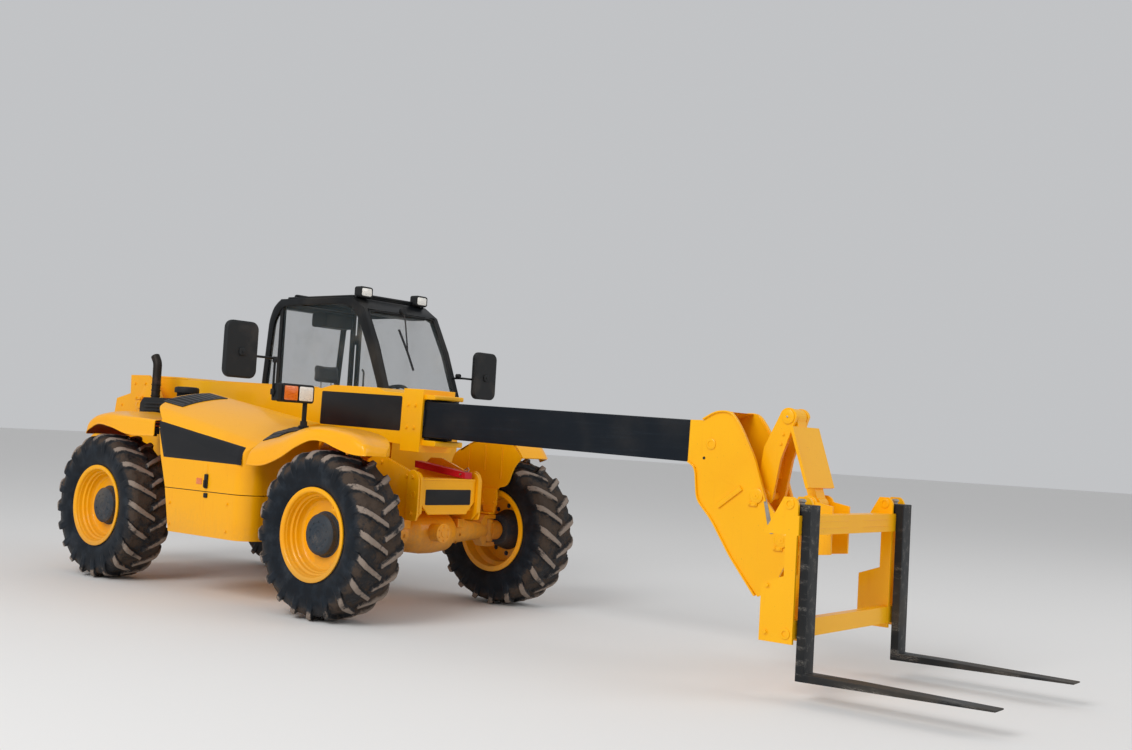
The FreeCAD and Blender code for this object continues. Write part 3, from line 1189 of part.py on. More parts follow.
def carriage():
    t = S.carriage_plate
    front = S.beam_front
    rear = front - 100
    px, pz = S.tilt_x, S.tilt_z
    pieces = []
    cheek = [(px - 70, pz - 50), (px - 10, pz - 86, 86), (px + 60, pz - 86), (rear, pz - 60),
             (rear, S.beam_top + 40), (S.link_x + 50, S.link_z + 20), (S.link_x - 50, S.link_z + 10, 51),
             (px - 70, pz + 50)]
    for side, tag in ((1, "left"), (-1, "right")):
        start, end = sided(side, 100, 100 + t)
        pieces.append(plate("cheek_" + tag, "XZ", cheek, start, end,
                            [(px, pz, S.pin_radius + S.fit)]))
        start, end = sided(side, 58, 110 + t)
        pieces.append(rod("link_stub_" + tag, "y", (S.link_x, start, S.link_z), S.pin_radius,
                          52 + t))
        outer = S.carriage_half
        for number, edge in enumerate((outer - t, outer - t - S.fork_slot)):
            start, end = sided(side, edge, edge + t)
            pieces.append(plate("upright_%s_%d" % (tag, number), "XZ", [
                (front - 220, S.carriage_low), (front - 10, S.carriage_low),
                (front - 10, S.beam_top + 60), (front - 40, S.beam_top + 100, 60),
                (front - 100, S.beam_top + 100), (front - 220, S.beam_low),
                (front - 80, S.beam_low), (front - 80, S.beam_low - 230),
                (front - 220, S.beam_low - 280)], start, end))
    pieces.append(box("beam", (rear, front), (-S.carriage_half, S.carriage_half),
                      (S.beam_low, S.beam_top)))
    pieces.append(box("lower_bar", (front - 70, front - 12), (-S.carriage_half, S.carriage_half),
                      (S.carriage_low + 30, S.carriage_low + 130)))
    node("fork_carriage", fuse("carriage_fused", pieces))
    forks = []
    face = front + S.seat_gap
    for side, tag in ((1, "left"), (-1, "right")):
        middle = side * (S.carriage_half - t / 2 - S.fork_slot / 2)
        profile = [(face, S.fork_low), (face + 50 + S.fork_length, S.fork_low + 25),
                   (face + 50 + S.fork_length, S.fork_low + 34),
                   (face + 350, S.fork_low + S.fork_thick), (face + 50, S.fork_low + S.fork_thick),
                   (face + 50, S.beam_top + 60), (face, S.beam_top + 60)]
        blade = plate("fork_blade_" + tag, "XZ", profile, middle - S.fork_width / 2,
                      middle + S.fork_width / 2)
        hook = box("fork_hook_" + tag, (face - 70, face + 5),
                   (middle - S.fork_width / 2, middle + S.fork_width / 2),
                   (S.beam_top + S.seat_gap, S.beam_top + 60))
        forks.append(fuse("fork_" + tag, [blade, hook]))
    node("forks", group("fork_pair", forks))


def lift_cylinder():
    x0, z0, x1, z1 = S.lift_x, S.lift_z, S.lug_x, S.lug_z
    run = span_of(x1 - x0, z1 - z0)
    angle = lean_of(x1 - x0, z1 - z0)

    def lay(thing):
        thing.Placement = FreeCAD.Placement(FreeCAD.Vector(), FreeCAD.Rotation(
            FreeCAD.Vector(0, -1, 0), angle.value))
        move(thing, x0 - MID_X, 0, z0)
        bind(thing, "Placement.Rotation.Angle", angle)
        return thing

    closed = run - 70
    barrel = rod("barrel", "x", (40, 0, 0), S.barrel_radius, closed - 40)
    eye = rod("barrel_eye", "y", (0, -80, 0), 60, 160)
    bores = [rod("barrel_bore", "x", (110, 0, 0), S.rod_radius + S.fit, closed),
             rod("barrel_eye_bore", "y", (0, -90, 0), S.lift_pin + S.fit, 180)]
    whole = cut("lift_barrel_bored", fuse("barrel_all", [barrel, eye]), *bores)
    whole.Label = "lift_barrel"
    NODES.append(lay(whole))
    shaft = rod("rod_shaft", "x", (120, 0, 0), S.rod_radius, run - 120 - 40)
    top = rod("rod_eye", "y", (run, -55, 0), 52, 110)
    loose = rod("rod_eye_bore", "y", (run, -60, 0), S.lift_pin + S.gap, 120)
    rod_all = cut("lift_rod_bored", fuse("rod_fused", [shaft, top]), loose)
    rod_all.Label = "lift_rod"
    NODES.append(lay(rod_all))


def safety_strut():
    rear = NOSE - 590
    front = NOSE - 35
    outline = [(rear, 1080), (front, 1020 + S.seat_gap), (front, 1070), (rear, 1135)]
    node("safety_strut", plate("strut_body", "XZ", outline, 180, 260))


chassis()
front_panel()
counterweight()
axle("front_axle", S.wheelbase)
axle("rear_axle", dim(0))
tyre_form = tread()
for end, spot_x in (("front", S.wheelbase), ("rear", dim(0))):
    for hand, sign in (("left", 1), ("right", -1)):
        knuckle("knuckle_%s_%s" % (end, hand), spot_x, sign)
        rim("rim_%s_%s" % (end, hand), spot_x, sign)
        tyre("tyre_%s_%s" % (end, hand), spot_x, sign, tyre_form)
wings()
engine_pod()
rear_cowl()
cab()
cab_lower()
cab_inside()
glass_panes()
door()
lights_and_mirrors()
tank()
outer_boom()
inner_boom()
boom_head()
tilt_linkage()
carriage()
lift_cylinder()
safety_strut()
doc.recompute()

for thing in doc.Objects:
    bad = [word for word in thing.State if word in ("Invalid", "Error")]
    if bad:
        raise RuntimeError("%s (%s) failed: %s" % (thing.Name, thing.Label, bad))
for thing in NODES:
    if thing.Shape.isNull() or not thing.Shape.isValid() or not thing.Shape.Solids:
        raise RuntimeError("%s has no sound shape" % thing.Label)

os.makedirs("parts", exist_ok=True)
for thing in NODES:
    thing.Shape.exportStep("parts/%s.step" % thing.Label)
    print(thing.Label, len(thing.Shape.Solids), round(thing.Shape.Volume / 1e6, 2))
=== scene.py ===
import math

import bmesh
import bpy
import numpy as np
from mathutils import Matrix, Vector


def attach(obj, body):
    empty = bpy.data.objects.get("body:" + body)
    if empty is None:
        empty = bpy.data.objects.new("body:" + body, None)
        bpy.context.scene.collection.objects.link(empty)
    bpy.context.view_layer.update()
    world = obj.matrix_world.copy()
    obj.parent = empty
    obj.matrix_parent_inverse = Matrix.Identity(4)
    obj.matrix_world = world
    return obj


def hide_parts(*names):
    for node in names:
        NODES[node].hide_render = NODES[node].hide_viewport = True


# A telehandler. Every place below is measured from the middle of the rear axle, x forward,
# y left and z up from the ground, in metres; MID_X takes it to the frame.

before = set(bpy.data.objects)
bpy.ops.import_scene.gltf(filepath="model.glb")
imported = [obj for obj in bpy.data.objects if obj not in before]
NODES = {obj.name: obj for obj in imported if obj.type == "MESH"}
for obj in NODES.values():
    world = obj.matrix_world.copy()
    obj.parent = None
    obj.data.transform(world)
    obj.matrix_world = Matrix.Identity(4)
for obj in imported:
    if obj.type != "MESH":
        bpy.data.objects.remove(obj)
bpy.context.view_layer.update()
SIDES = ((-1, "right"), (1, "left"))
MID_X = 3.18015         # from the rear axle forward to the frame's origin
WHEELBASE = 2.75
AXLE_Z = 0.6            # height of the wheels' middles
WHEEL_Y = 0.945         # centre line to a wheel's plane
FRAME_Y = 0.325         # centre line to the frame's side plates
COWL_Y = 0.640          # centre line to the rear cowl's side
CHEEK_INNER = 0.7245    # centre line to the inner face of the left front wing's cheek
SEAT_Y = 0.7125         # centre line to the seat's middle
WING_Y = 1.140          # centre line to the wings' lips
PIVOT = np.array([-0.68, 0.0, 1.47])    # the boom's pivot
SLOPE = math.radians(1.3)               # how far the boom slopes down to the front
scene = bpy.context.scene
scene.view_settings.view_transform = "Standard"


# Camera

def aim_camera(place=(9.767, -7.082, 1.363), angles=(128.856, 2.909, 3.272), focal=40.8):
    """Looks at the machine from ahead and to its right, at eye height. The angles are yaw,
    pitch and a slight roll, in degrees."""
    yaw, pitch, roll = (math.radians(v) for v in angles)
    forward = np.array([math.cos(pitch) * math.cos(yaw), math.cos(pitch) * math.sin(yaw),
                        math.sin(pitch)])
    right = np.cross(forward, (0, 0, 1))
    right /= np.linalg.norm(right)
    up = np.cross(right, forward)
    turn = np.eye(4)
    turn[:3, 0] = math.cos(roll) * right + math.sin(roll) * up
    turn[:3, 1] = math.cos(roll) * up - math.sin(roll) * right
    turn[:3, 2] = -forward
    turn[:3, 3] = np.array(place) - (MID_X, 0, 0)
    data = bpy.data.cameras.new("camera")
    data.sensor_width = 36.0
    data.lens = focal
    data.clip_end = 300
    camera = bpy.data.objects.new("camera", data)
    bpy.context.collection.objects.link(camera)
    camera.matrix_world = Matrix(turn.tolist())
    scene.camera = camera


aim_camera()


# Finishes

def linear(code):
    """A hex colour as linear red, green, blue and alpha."""
    parts = np.array([int(code[i:i + 2], 16) for i in (1, 3, 5)]) / 255
    low = parts / 12.92
    high = ((parts + 0.055) / 1.055) ** 2.4
    return (*np.where(parts <= 0.04045, low, high).tolist(), 1.0)


class Reading:
    """A number that changes over a surface; arithmetic on it adds Math nodes."""

    def __init__(self, finish, socket):
        self.finish = finish
        self.socket = socket

    def _with(self, operation, first, second):
        """Adds the Math node for one operation."""
        node = self.finish.node("ShaderNodeMath", {"operation": operation}, {0: first, 1: second})
        return Reading(self.finish, node.outputs[0])

    def __add__(self, other):
        return self._with("ADD", self, other)

    def __radd__(self, other):
        return self._with("ADD", other, self)

    def __sub__(self, other):
        return self._with("SUBTRACT", self, other)

    def __rsub__(self, other):
        return self._with("SUBTRACT", other, self)

    def __mul__(self, other):
        return self._with("MULTIPLY", self, other)

    def __rmul__(self, other):
        return self._with("MULTIPLY", other, self)


class Finish:
    """A procedural material: one Principled shader and what feeds it."""

    def __init__(self, name, slot, **fixed):
        self.material = bpy.data.materials.new(name)
        self.material.use_nodes = True
        self.nodes = self.material.node_tree.nodes
        self.links = self.material.node_tree.links
        self.shader = self.nodes["Principled BSDF"]
        self.set(**fixed)
        self.spot = self.node("ShaderNodeTexCoord").outputs["Object"]

    def node(self, kind, settings=None, sockets=None):
        """Adds a node, its settings first and then the values or links of its sockets."""
        made = self.nodes.new(kind)
        for key, value in (settings or {}).items():
            setattr(made, key, value)
        for key, value in (sockets or {}).items():
            self.feed(made.inputs[key], value)
        return made

    def feed(self, socket, value):
        """Links a socket to a value's source, or sets it to a plain value."""
        if isinstance(value, Reading):
            value = value.socket
        if isinstance(value, bpy.types.NodeSocket):
            self.links.new(value, socket)
        else:
            socket.default_value = value

    def set(self, **sockets):
        """Feeds the shader's sockets, named with low lines for spaces."""
        for key, value in sockets.items():
            self.feed(self.shader.inputs[key.replace("_", " ")], value)

    def along(self, axis):
        """The place on one axis, in metres."""
        parts = self.node("ShaderNodeSeparateXYZ", None, {0: self.spot})
        return Reading(self, parts.outputs["XYZ".index(axis)])

    def stretched(self, factors):
        """The place on the piece, multiplied by a factor on each axis if there are any."""
        if factors is None:
            return self.spot
        made = self.node("ShaderNodeMapping", None, {"Vector": self.spot, "Scale": factors})
        return made.outputs[0]

    def noise(self, scale, detail=2.0, rough=0.5, stretch=None):
        """Cloudy values about 0.5."""
        made = self.node("ShaderNodeTexNoise", None, {
            "Vector": self.stretched(stretch), "Scale": scale, "Detail": detail,
            "Roughness": rough})
        return Reading(self, made.outputs[0])

    def cells(self, scale):
        """The distance to the middle of the nearest of many small cells."""
        made = self.node("ShaderNodeTexVoronoi", None, {"Vector": self.spot, "Scale": scale})
        return Reading(self, made.outputs["Distance"])

    def mask(self, value, low, high):
        """0 below low and 1 above high, with a smooth step between."""
        made = self.node("ShaderNodeMapRange", {"interpolation_type": "SMOOTHSTEP"}, {
            "Value": value, "From Min": low, "From Max": high})
        return Reading(self, made.outputs[0])

    def mix(self, first, second, factor):
        """Goes from the first colour to the second with the factor."""
        made = self.node("ShaderNodeMix", {"data_type": "RGBA"}, {
            0: factor, 6: first, 7: second})
        return made.outputs[2]

    def relief(self, height, strength, distance=0.002):
        """Lets a height show as relief in the light."""
        made = self.node("ShaderNodeBump", None, {
            "Height": height, "Strength": strength, "Distance": distance})
        self.set(Normal=made.outputs[0])


def painted(name, slot, colour, deep, rough=0.3, dust=0.5, dust_line=0.62):
    """Machine paint: two tones that drift into each other, faint runs, fine chips, and soil
    that lies below a ragged line and thins out above it."""
    finish = Finish(name, slot, Coat_Weight=0.2, Coat_Roughness=0.1, IOR=1.33)
    height = finish.along("Z")
    cloud = finish.noise(1.4, 4)
    fine = finish.noise(34, 3)
    runs = finish.noise(9, 3, 0.6, (5, 5, 0.35))
    base = finish.mix(linear(colour), linear(deep), finish.mask(cloud, 0.45, 0.75) * 0.45)
    base = finish.mix(base, linear(deep), finish.mask(runs, 0.58, 0.75) * 0.3)
    chip = finish.mask(finish.noise(140, 2), 0.69, 0.73) * finish.mask(fine, 0.52, 0.62)
    base = finish.mix(base, linear("#5E4E3B"), chip * 0.55)
    ragged = height + (cloud - 0.5) * 0.5 + (fine - 0.5) * 0.3 + (runs - 0.5) * 0.25
    soil = (1 - finish.mask(ragged, dust_line - 0.28, dust_line + 0.12)) * dust
    base = finish.mix(base, linear("#8A7560"), soil)
    finish.set(Base_Color=base, Roughness=rough + soil * 0.5 + fine * 0.08)
    finish.relief(finish.noise(420, 1) * 0.3 + runs * 0.2 + soil * finish.noise(160, 4), 0.1)
    return finish.material


def coated(name, slot, colour, worn, rough=0.42, stretch=None, share=0.5, grey=0.12):
    """Dark coating, scuffed along its length, with a little dust."""
    finish = Finish(name, slot, IOR=1.3)
    scuff = finish.noise(7, 5, 0.6, stretch or (1, 1, 1))
    fine = finish.noise(160, 3, 0.6, stretch or (1, 1, 1))
    mark = finish.mask(scuff, 0.5, 0.68) * finish.mask(fine, 0.45, 0.6)
    dust = finish.mask(finish.noise(2.4, 5), 0.45, 0.8) * grey
    base = finish.mix(linear(colour), linear(worn), mark * share)
    base = finish.mix(base, linear("#8A7D6C"), dust)
    finish.set(Base_Color=base, Roughness=rough + mark * 0.25 + dust)
    finish.relief(fine * 0.5 + finish.noise(600, 1) * 0.5, 0.1)
    return finish.material


def moulded(name, slot, colour, rough=0.6):
    """Moulded plastic with a fine pebble grain and a little dust."""
    finish = Finish(name, slot, IOR=1.38)
    grain = finish.cells(420)
    dust = finish.mask(finish.noise(6, 4), 0.48, 0.75)
    finish.set(Base_Color=finish.mix(linear(colour), linear("#77706A"), dust * 0.18),
               Roughness=rough + dust * 0.2)
    finish.relief(grain, 0.25, 0.001)
    return finish.material


def bare_metal(name, slot, colour, rough=0.3, stain="#6A5040", share=0.35):
    """Bare steel, brushed, with brown stains."""
    finish = Finish(name, slot)
    brush = finish.noise(120, 3, 0.6, (1, 12, 1))
    rust = finish.mask(finish.noise(14, 5), 0.5, 0.7)
    finish.set(Base_Color=finish.mix(linear(colour), linear(stain), rust * share),
               Roughness=rough + brush * 0.15 + rust * 0.25, Metallic=1.0 - rust * share)
    finish.relief(brush, 0.15, 0.001)
    return finish.material


def tyre_rubber():
    """Blue-black walls, and dried soil in clods on the tread: pale on the lugs, and darker
    between them as painted shade in the grooves. The attribute soil says how much of it
    clings to each point, and the attribute lug how far the point stands on a lug."""
    finish = Finish("tyre_rubber", "tyre", IOR=1.28)
    cling, lug = (Reading(finish, finish.node("ShaderNodeAttribute", {
        "attribute_name": mark}).outputs["Fac"]) for mark in ("soil", "lug"))
    cloud = finish.noise(8, 6, 0.65)
    crumbs = finish.noise(55, 5, 0.65)
    cover = finish.mask(cling + (cloud - 0.5) * 1.7 + (crumbs - 0.5) * 0.45, 0.36, 0.60)
    film = finish.mask(cling + (cloud - 0.5) * 1.2, -0.15, 0.5) * 0.08
    base = finish.mix(linear("#0C131B"), linear("#1A242E"), finish.mask(cloud, 0.4, 0.7))
    base = finish.mix(base, linear("#8B8178"), film)
    # Soil colour from dark between the lugs to pale on them: the dark part is painted shade in the
    # grooves.
    soil_with_groove_shade = finish.mix(linear("#4B4038"), linear("#93857A"), finish.mask(
        lug + (crumbs - 0.5) * 0.9 + (cloud - 0.5) * 0.9, 0.15, 1.05))
    finish.set(Base_Color=finish.mix(base, soil_with_groove_shade, cover), Roughness=0.5 + cover * 0.42)
    finish.relief(cover * crumbs + cover * cloud + finish.noise(260, 2) * 0.06, 0.6, 0.006)
    return finish.material


def window_glass():
    """Window glass with a cloudy film of dust."""
    finish = Finish("cab_glazing", "glass", IOR=1.45)
    film = finish.mask(finish.noise(3.5, 5), 0.45, 0.85)
    finish.set(Base_Color=finish.mix(linear("#4F5C60"), linear("#A9A69E"), film),
               Roughness=0.02 + film * 0.12, Alpha=0.12 + film * 0.08)
    return finish.material


def lens(name, colour, deep):
    """Pressed lamp glass: small round facets over a bright ground."""
    finish = Finish(name, "lamp", Coat_Weight=1.0, Coat_Roughness=0.03)
    facet = finish.cells(160)
    finish.set(Base_Color=finish.mix(linear(colour), linear(deep), finish.mask(facet, 0.4, 1.1)),
               Roughness=0.1 + facet * 0.06)
    finish.relief(facet, 0.35, 0.002)
    return finish.material


def mirror_glass():
    """Silvered glass with a thin film of dust."""
    finish = Finish("mirror_glass", "glass")
    film = finish.mask(finish.noise(8, 5), 0.4, 0.8)
    finish.set(Base_Color=finish.mix(linear("#C7CDD0"), linear("#A8A39A"), film),
               Roughness=0.04 + film * 0.2, Metallic=1.0 - film * 0.4)
    return finish.material


def woven(name, colour, thread):
    """Seat cloth: two sets of threads that cross, each a fine wave, with worn, paler areas."""
    finish = Finish(name, "fabric", Sheen_Weight=0.3)
    along, across = (Reading(finish, finish.node(
        "ShaderNodeTexWave", {"bands_direction": axis},
        {"Vector": finish.spot, "Scale": 160.0, "Distortion": 0.6}).outputs["Fac"]) for axis in "XY")
    weave = along * 0.5 + across * 0.5
    worn = finish.mask(finish.noise(5, 4), 0.45, 0.75)
    base = finish.mix(linear(colour), linear(thread), weave * 0.5)
    finish.set(Base_Color=finish.mix(base, linear("#5D5A55"), worn * 0.35),
               Roughness=0.85 + weave * 0.1)
    finish.relief(weave, 0.4, 0.001)
    return finish.material


YELLOW = painted("machine_yellow", "yellow", "#FFB200", "#F39A00", 0.32, 0.18, 0.58)
BOOM_YELLOW = painted("boom_yellow", "yellow", "#FFB900", "#F7A500", 0.34, 0.0)
RIM_YELLOW = painted("rim_yellow", "yellow", "#FFB200", "#F29400", 0.34, 0.3, 0.5)
AXLE_ORANGE = painted("axle_orange", "orange", "#F5A000", "#E38600", 0.4, 0.45, 0.66)
# The wings' underside: a darker, redder copy of the yellow, as painted shade under the wings, with dust
# on it.
UNDERWING_SHADE = painted("wing_underside_painted_shade", "orange", "#C8501E", "#A8401A", 0.6, 0.5, 1.25)
BOOM_NAVY = coated("boom_navy", "navy", "#0B141D", "#2A3540", 0.34, (0.25, 6, 6), 0.3, 0.06)
CAB_BLACK = coated("cab_black", "black", "#101316", "#33383B", 0.38)
SIGN_BLACK = coated("panel_black", "black", "#1B1C1F", "#38393C", 0.3, None, 0.2, 0.06)
HUB_GREY = coated("hub_grey", "black", "#323B44", "#6B6258", 0.5, None, 0.8, 0.4)
TRIM_BLACK = moulded("trim_plastic", "plastic", "#191B1D")
STRUT_RED = painted("strut_red", "red", "#C8182C", "#9A1020", 0.36, 0.25)
BARE_STEEL = bare_metal("bare_steel", "steel", "#B9B4AC")
WORN_STEEL = bare_metal("worn_steel", "steel", "#A9A6A1", 0.42, "#7A6A58", 0.5)
FORK_STEEL = coated("fork_steel", "black", "#1E2022", "#7E7A74", 0.45, (0.4, 3, 3), 0.9, 0.3)
EXHAUST_STEEL = bare_metal("exhaust_steel", "steel", "#3A3633", 0.5, "#4C342A", 0.7)
RUBBER = tyre_rubber()
GLASS = window_glass()
MIRROR = mirror_glass()
CLEAR_LENS = lens("clear_lens", "#F4F2EA", "#C6C7C6")
AMBER_LENS = lens("amber_lens", "#F27D1A", "#C94E0C")
RED_LENS = lens("red_lens", "#CF1B20", "#98101A")
SEAT_CLOTH = woven("seat_cloth", "#25282D", "#4A4D52")


# Forms

def ease(low, high, value):
    """0 below low, 1 above high and 3t^2 - 2t^3 between, t being the share of the way."""
    t = np.clip((value - low) / (high - low), 0, 1)
    return t * t * (3 - 2 * t)


def through(knots, values, x):
    """A smooth line through values at the knots: between two knots it is the cubic that has
    both values and, at each, the slope from the knot before to the knot after."""
    knots, values = np.asarray(knots, float), np.asarray(values, float)
    slope = np.gradient(values, knots, axis=0)
    at = np.clip(np.searchsorted(knots, x, side="right") - 1, 0, len(knots) - 2)
    gap = (knots[at + 1] - knots[at])[:, None]
    t = ((x - knots[at])[:, None]) / gap
    return ((2 * t ** 3 - 3 * t ** 2 + 1) * values[at] + (t ** 3 - 2 * t ** 2 + t) * gap * slope[at]
            + (3 * t ** 2 - 2 * t ** 3) * values[at + 1] + (t ** 3 - t ** 2) * gap * slope[at + 1])


def rounded(points, radius, steps=5, closed=True):
    """A line with its corners rounded. From A, a radius before a corner B, to C, as far past
    it, runs the curve (1-t)^2 A + 2t(1-t) B + t^2 C; a short leg gives less than the radius."""
    points = np.asarray(points, float)
    back = np.roll(points, 1, 0) - points
    on = np.roll(points, -1, 0) - points
    before = np.linalg.norm(back, axis=1, keepdims=True) + 1e-9
    after = np.linalg.norm(on, axis=1, keepdims=True) + 1e-9
    radius = np.broadcast_to(np.asarray(radius, float).reshape(-1, 1), before.shape)
    first = points + back / before * np.minimum(radius, 0.48 * before)
    last = points + on / after * np.minimum(radius, 0.48 * after)
    t = np.linspace(0, 1, steps + 1)[None, :, None]
    curve = (1 - t) ** 2 * first[:, None] + 2 * t * (1 - t) * points[:, None] + t ** 2 * last[:, None]
    if closed:
        return curve.reshape(-1, points.shape[1])
    return np.concatenate([points[:1], curve[1:-1].reshape(-1, points.shape[1]), points[-1:]])


def on_axis(axis, along, first, second):
    """Puts a value along an axis and two across it in x, y, z order."""
    along, first, second = np.broadcast_arrays(along, first, second)
    order = {"x": (along, first, second), "y": (first, along, second), "z": (first, second, along)}
    return np.stack(order[axis], -1)


def circle(count, radius, axis, along=0.0, phase=0.0):
    """Places evenly round an axis, at one place along it."""
    turn = np.arange(count) * 2 * np.pi / count + phase
    return on_axis(axis, along, radius * np.sin(turn), radius * np.cos(turn))


def turned(line, centre, axis="y", steps=64, phase=0.0):
    """A line of (along, radius) points turned about an axis through the centre: each point
    goes to radius * sin and radius * cos of the angle, at its place along."""
    line = np.asarray(line, float)
    angle = np.arange(steps) * 2 * np.pi / steps + phase
    grid = on_axis(axis, line[:, :1], line[:, 1:] * np.sin(angle), line[:, 1:] * np.cos(angle))
    return grid + np.asarray(centre, float)


def slab(outline, low, high, axis, corner, edge, steps=3):
    """A plate. The outline, its corners rounded, is carried from low to high; near both
    faces it draws in along its inward normals by edge * (1 - sin a) where it has moved
    edge * (1 - cos a), which rounds the rim by a quarter circle."""
    line = rounded(outline, corner)
    ahead = np.roll(line, -1, 0) - np.roll(line, 1, 0)
    ahead /= np.linalg.norm(ahead, axis=1, keepdims=True) + 1e-12
    following = np.roll(line, -1, 0)
    turn = np.sign((line[:, 0] * following[:, 1] - following[:, 0] * line[:, 1]).sum())
    inward = np.stack([-ahead[:, 1], ahead[:, 0]], -1) * turn
    angle = np.linspace(0, np.pi / 2, steps + 1)
    sink, travel = edge * (1 - np.sin(angle)), edge * (1 - np.cos(angle))
    sink = np.concatenate([sink, sink[::-1]])[:, None, None]
    station = np.concatenate([low + travel, high - travel[::-1]])[:, None]
    flat = line[None] + inward[None] * sink
    return on_axis(axis, station, flat[..., 0], flat[..., 1])


def block(x, y, z, corner, edge, axis):
    """A block between two values on each axis, with rounded corners and rims."""
    spans = {"x": (y, z, x), "y": (x, z, y), "z": (x, y, z)}[axis]
    (a0, a1), (b0, b1), (low, high) = spans
    return slab([(a0, b0), (a1, b0), (a1, b1), (a0, b1)], low, high, axis, corner, edge)


def carried(path, section, guide, corner=0.03, closed=False, steps=6):
    """A section carried along a path whose corners are rounded. Its first axis is the
    tangent crossed with the guide, its second that axis crossed with the tangent."""
    line = rounded(path, corner, steps, closed)
    if closed:
        ahead = np.roll(line, -1, 0) - np.roll(line, 1, 0)
    else:
        ahead = np.gradient(line, axis=0)
    ahead /= np.linalg.norm(ahead, axis=1, keepdims=True) + 1e-12
    first = np.cross(ahead, np.asarray(guide, float))
    first /= np.linalg.norm(first, axis=1, keepdims=True) + 1e-12
    second = np.cross(first, ahead)
    out, up = np.asarray(section, float)[None, :, :1], np.asarray(section, float)[None, :, 1:]
    return line[:, None] + out * first[:, None] + up * second[:, None]


def ring(radius, sides):
    """A round section."""
    angle = np.arange(sides) * 2 * np.pi / sides
    return np.stack([radius * np.cos(angle), radius * np.sin(angle)], -1)


def oblong(half_width, half_height):
    """A four-cornered section."""
    return np.array([(-1, -1), (1, -1), (1, 1), (-1, 1)]) * (half_width, half_height)


def span(side, near, far):
    """From the nearer to the farther place on one side of the centre line, lower first."""
    return sorted((side * near, side * far))


def waves(points, size, seed, count=14):
    """A smooth uneven field from about -1 to 1: 2.2 times the mean of slanted sine waves, whose
    lengths lie about the size and whose directions and phases come from the seed."""
    draw = np.random.default_rng(seed)
    ways = draw.normal(size=(count, 3))
    ways *= 2 * np.pi / (size * draw.uniform(0.6, 1.7, (count, 1))
                         * np.linalg.norm(ways, axis=1, keepdims=True))
    phase = draw.uniform(0, 2 * np.pi, count)
    return np.sin(points @ ways.T + phase).mean(-1) * 2.2


def on_boom(points):
    """Places given as (u along the boom from its pivot, y, w above it), turned down by the
    boom's slope and moved to the pivot."""
    u, y, w = points[..., 0], points[..., 1], points[..., 2]
    return np.stack([u * math.cos(SLOPE) + w * math.sin(SLOPE), y,
                     w * math.cos(SLOPE) - u * math.sin(SLOPE)], -1) + PIVOT


class Form:
    """Points and faces gathered into one piece."""

    def __init__(self):
        self.points, self.faces, self.count = [], [], 0

    def add(self, points, round_rows=False, round_columns=True, caps=True):
        """Takes a grid of points and joins each to its neighbours along and across. Where
        it goes round, the last line joins the first; caps close the two ends."""
        rows, columns = points.shape[:2]
        number = np.arange(rows * columns).reshape(rows, columns) + self.count
        below, beside = np.roll(number, -1, 0), np.roll(number, -1, 1)
        quads = np.stack([number, beside, np.roll(below, -1, 1), below], -1)
        quads = quads if round_rows else quads[:-1]
        quads = quads if round_columns else quads[:, :-1]
        self.faces += quads.reshape(-1, 4).tolist()
        if caps and not round_rows:
            self.faces += [number[0][::-1].tolist(), number[-1].tolist()]
        self.points.append(points.reshape(-1, 3))
        self.count += rows * columns
        return self

    def turn(self, line, spot, axis="y", steps=36, way=1, phase=0.0):
        """Adds a line of (along, radius) points turned about an axis through a spot. With way
        -1 it points the other way along the axis."""
        return self.add(turned(np.array(line) * (way, 1), spot, axis, steps, phase), caps=False)

    def rod(self, path, radius, guide, corner=0.03, sides=12):
        """Adds a round rod along a path."""
        return self.add(carried(path, ring(radius, sides), guide, corner))

    def hoop(self, path, section, guide, corner):
        """Adds a section carried all the way round a path."""
        return self.add(carried(path, section, guide, corner, closed=True), round_rows=True)

    def box(self, x, y, z, corner, edge, axis="y"):
        """Adds a block."""
        return self.add(block(x, y, z, corner, edge, axis))

    def bolts(self, spots, size, axis="y", way=1):
        """Adds bolt heads: a round washer, and on it a six-sided head with a bevelled top."""
        for spot in spots:
            self.turn([(0, 0), (0, size * 1.5), (size * 0.2, size * 1.5), (size * 0.25, 0)], spot,
                      axis, 18, way)
            self.turn([(0, 0), (0, size), (size * 0.75, size), (size * 0.9, size * 0.85),
                       (size * 0.9, 0)], spot, axis, 6, way, 0.3)
        return self

    def piece(self, name, material, body, *nodes, sharp=38, boom=False, marks=None, sheet=False):
        """Makes the mesh: doubles merged, faces outwards except on an open sheet, smooth up to
        the sharp angle. It rides on the body and stands for the nodes."""
        points = np.concatenate(self.points)
        if boom:
            points = on_boom(points)
        mesh = bpy.data.meshes.new(name)
        mesh.from_pydata((points - (MID_X, 0, 0)).tolist(), [], self.faces)
        for key, values in (marks or {}).items():
            mesh.attributes.new(key, "FLOAT", "POINT").data.foreach_set("value", values.ravel())
        tidy = bmesh.new()
        tidy.from_mesh(mesh)
        bmesh.ops.remove_doubles(tidy, verts=tidy.verts, dist=1e-6)
        if not sheet:
            bmesh.ops.recalc_face_normals(tidy, faces=tidy.faces)
        tidy.to_mesh(mesh)
        tidy.free()
        thing = bpy.data.objects.new(name, mesh)
        bpy.context.collection.objects.link(thing)
        mesh.materials.append(material)
        return settle(thing, body, nodes, sharp)


def settle(thing, body, nodes, sharp):
    """Smooths a piece, ties it to its body, and hides the CAD nodes it stands for."""
    thing.data.shade_smooth()
    thing.data.set_sharp_from_angle(angle=math.radians(sharp))
    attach(thing, body)
    if nodes:
        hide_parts(*nodes)
    return thing


def round_off(thing, width, segments, angle=30):
    """Rounds a piece's edges with a bevel."""
    bevel = thing.modifiers.new("rounding", "BEVEL")
    bevel.width = width
    bevel.segments = segments
    bevel.limit_method = "ANGLE"
    bevel.angle_limit = math.radians(angle)


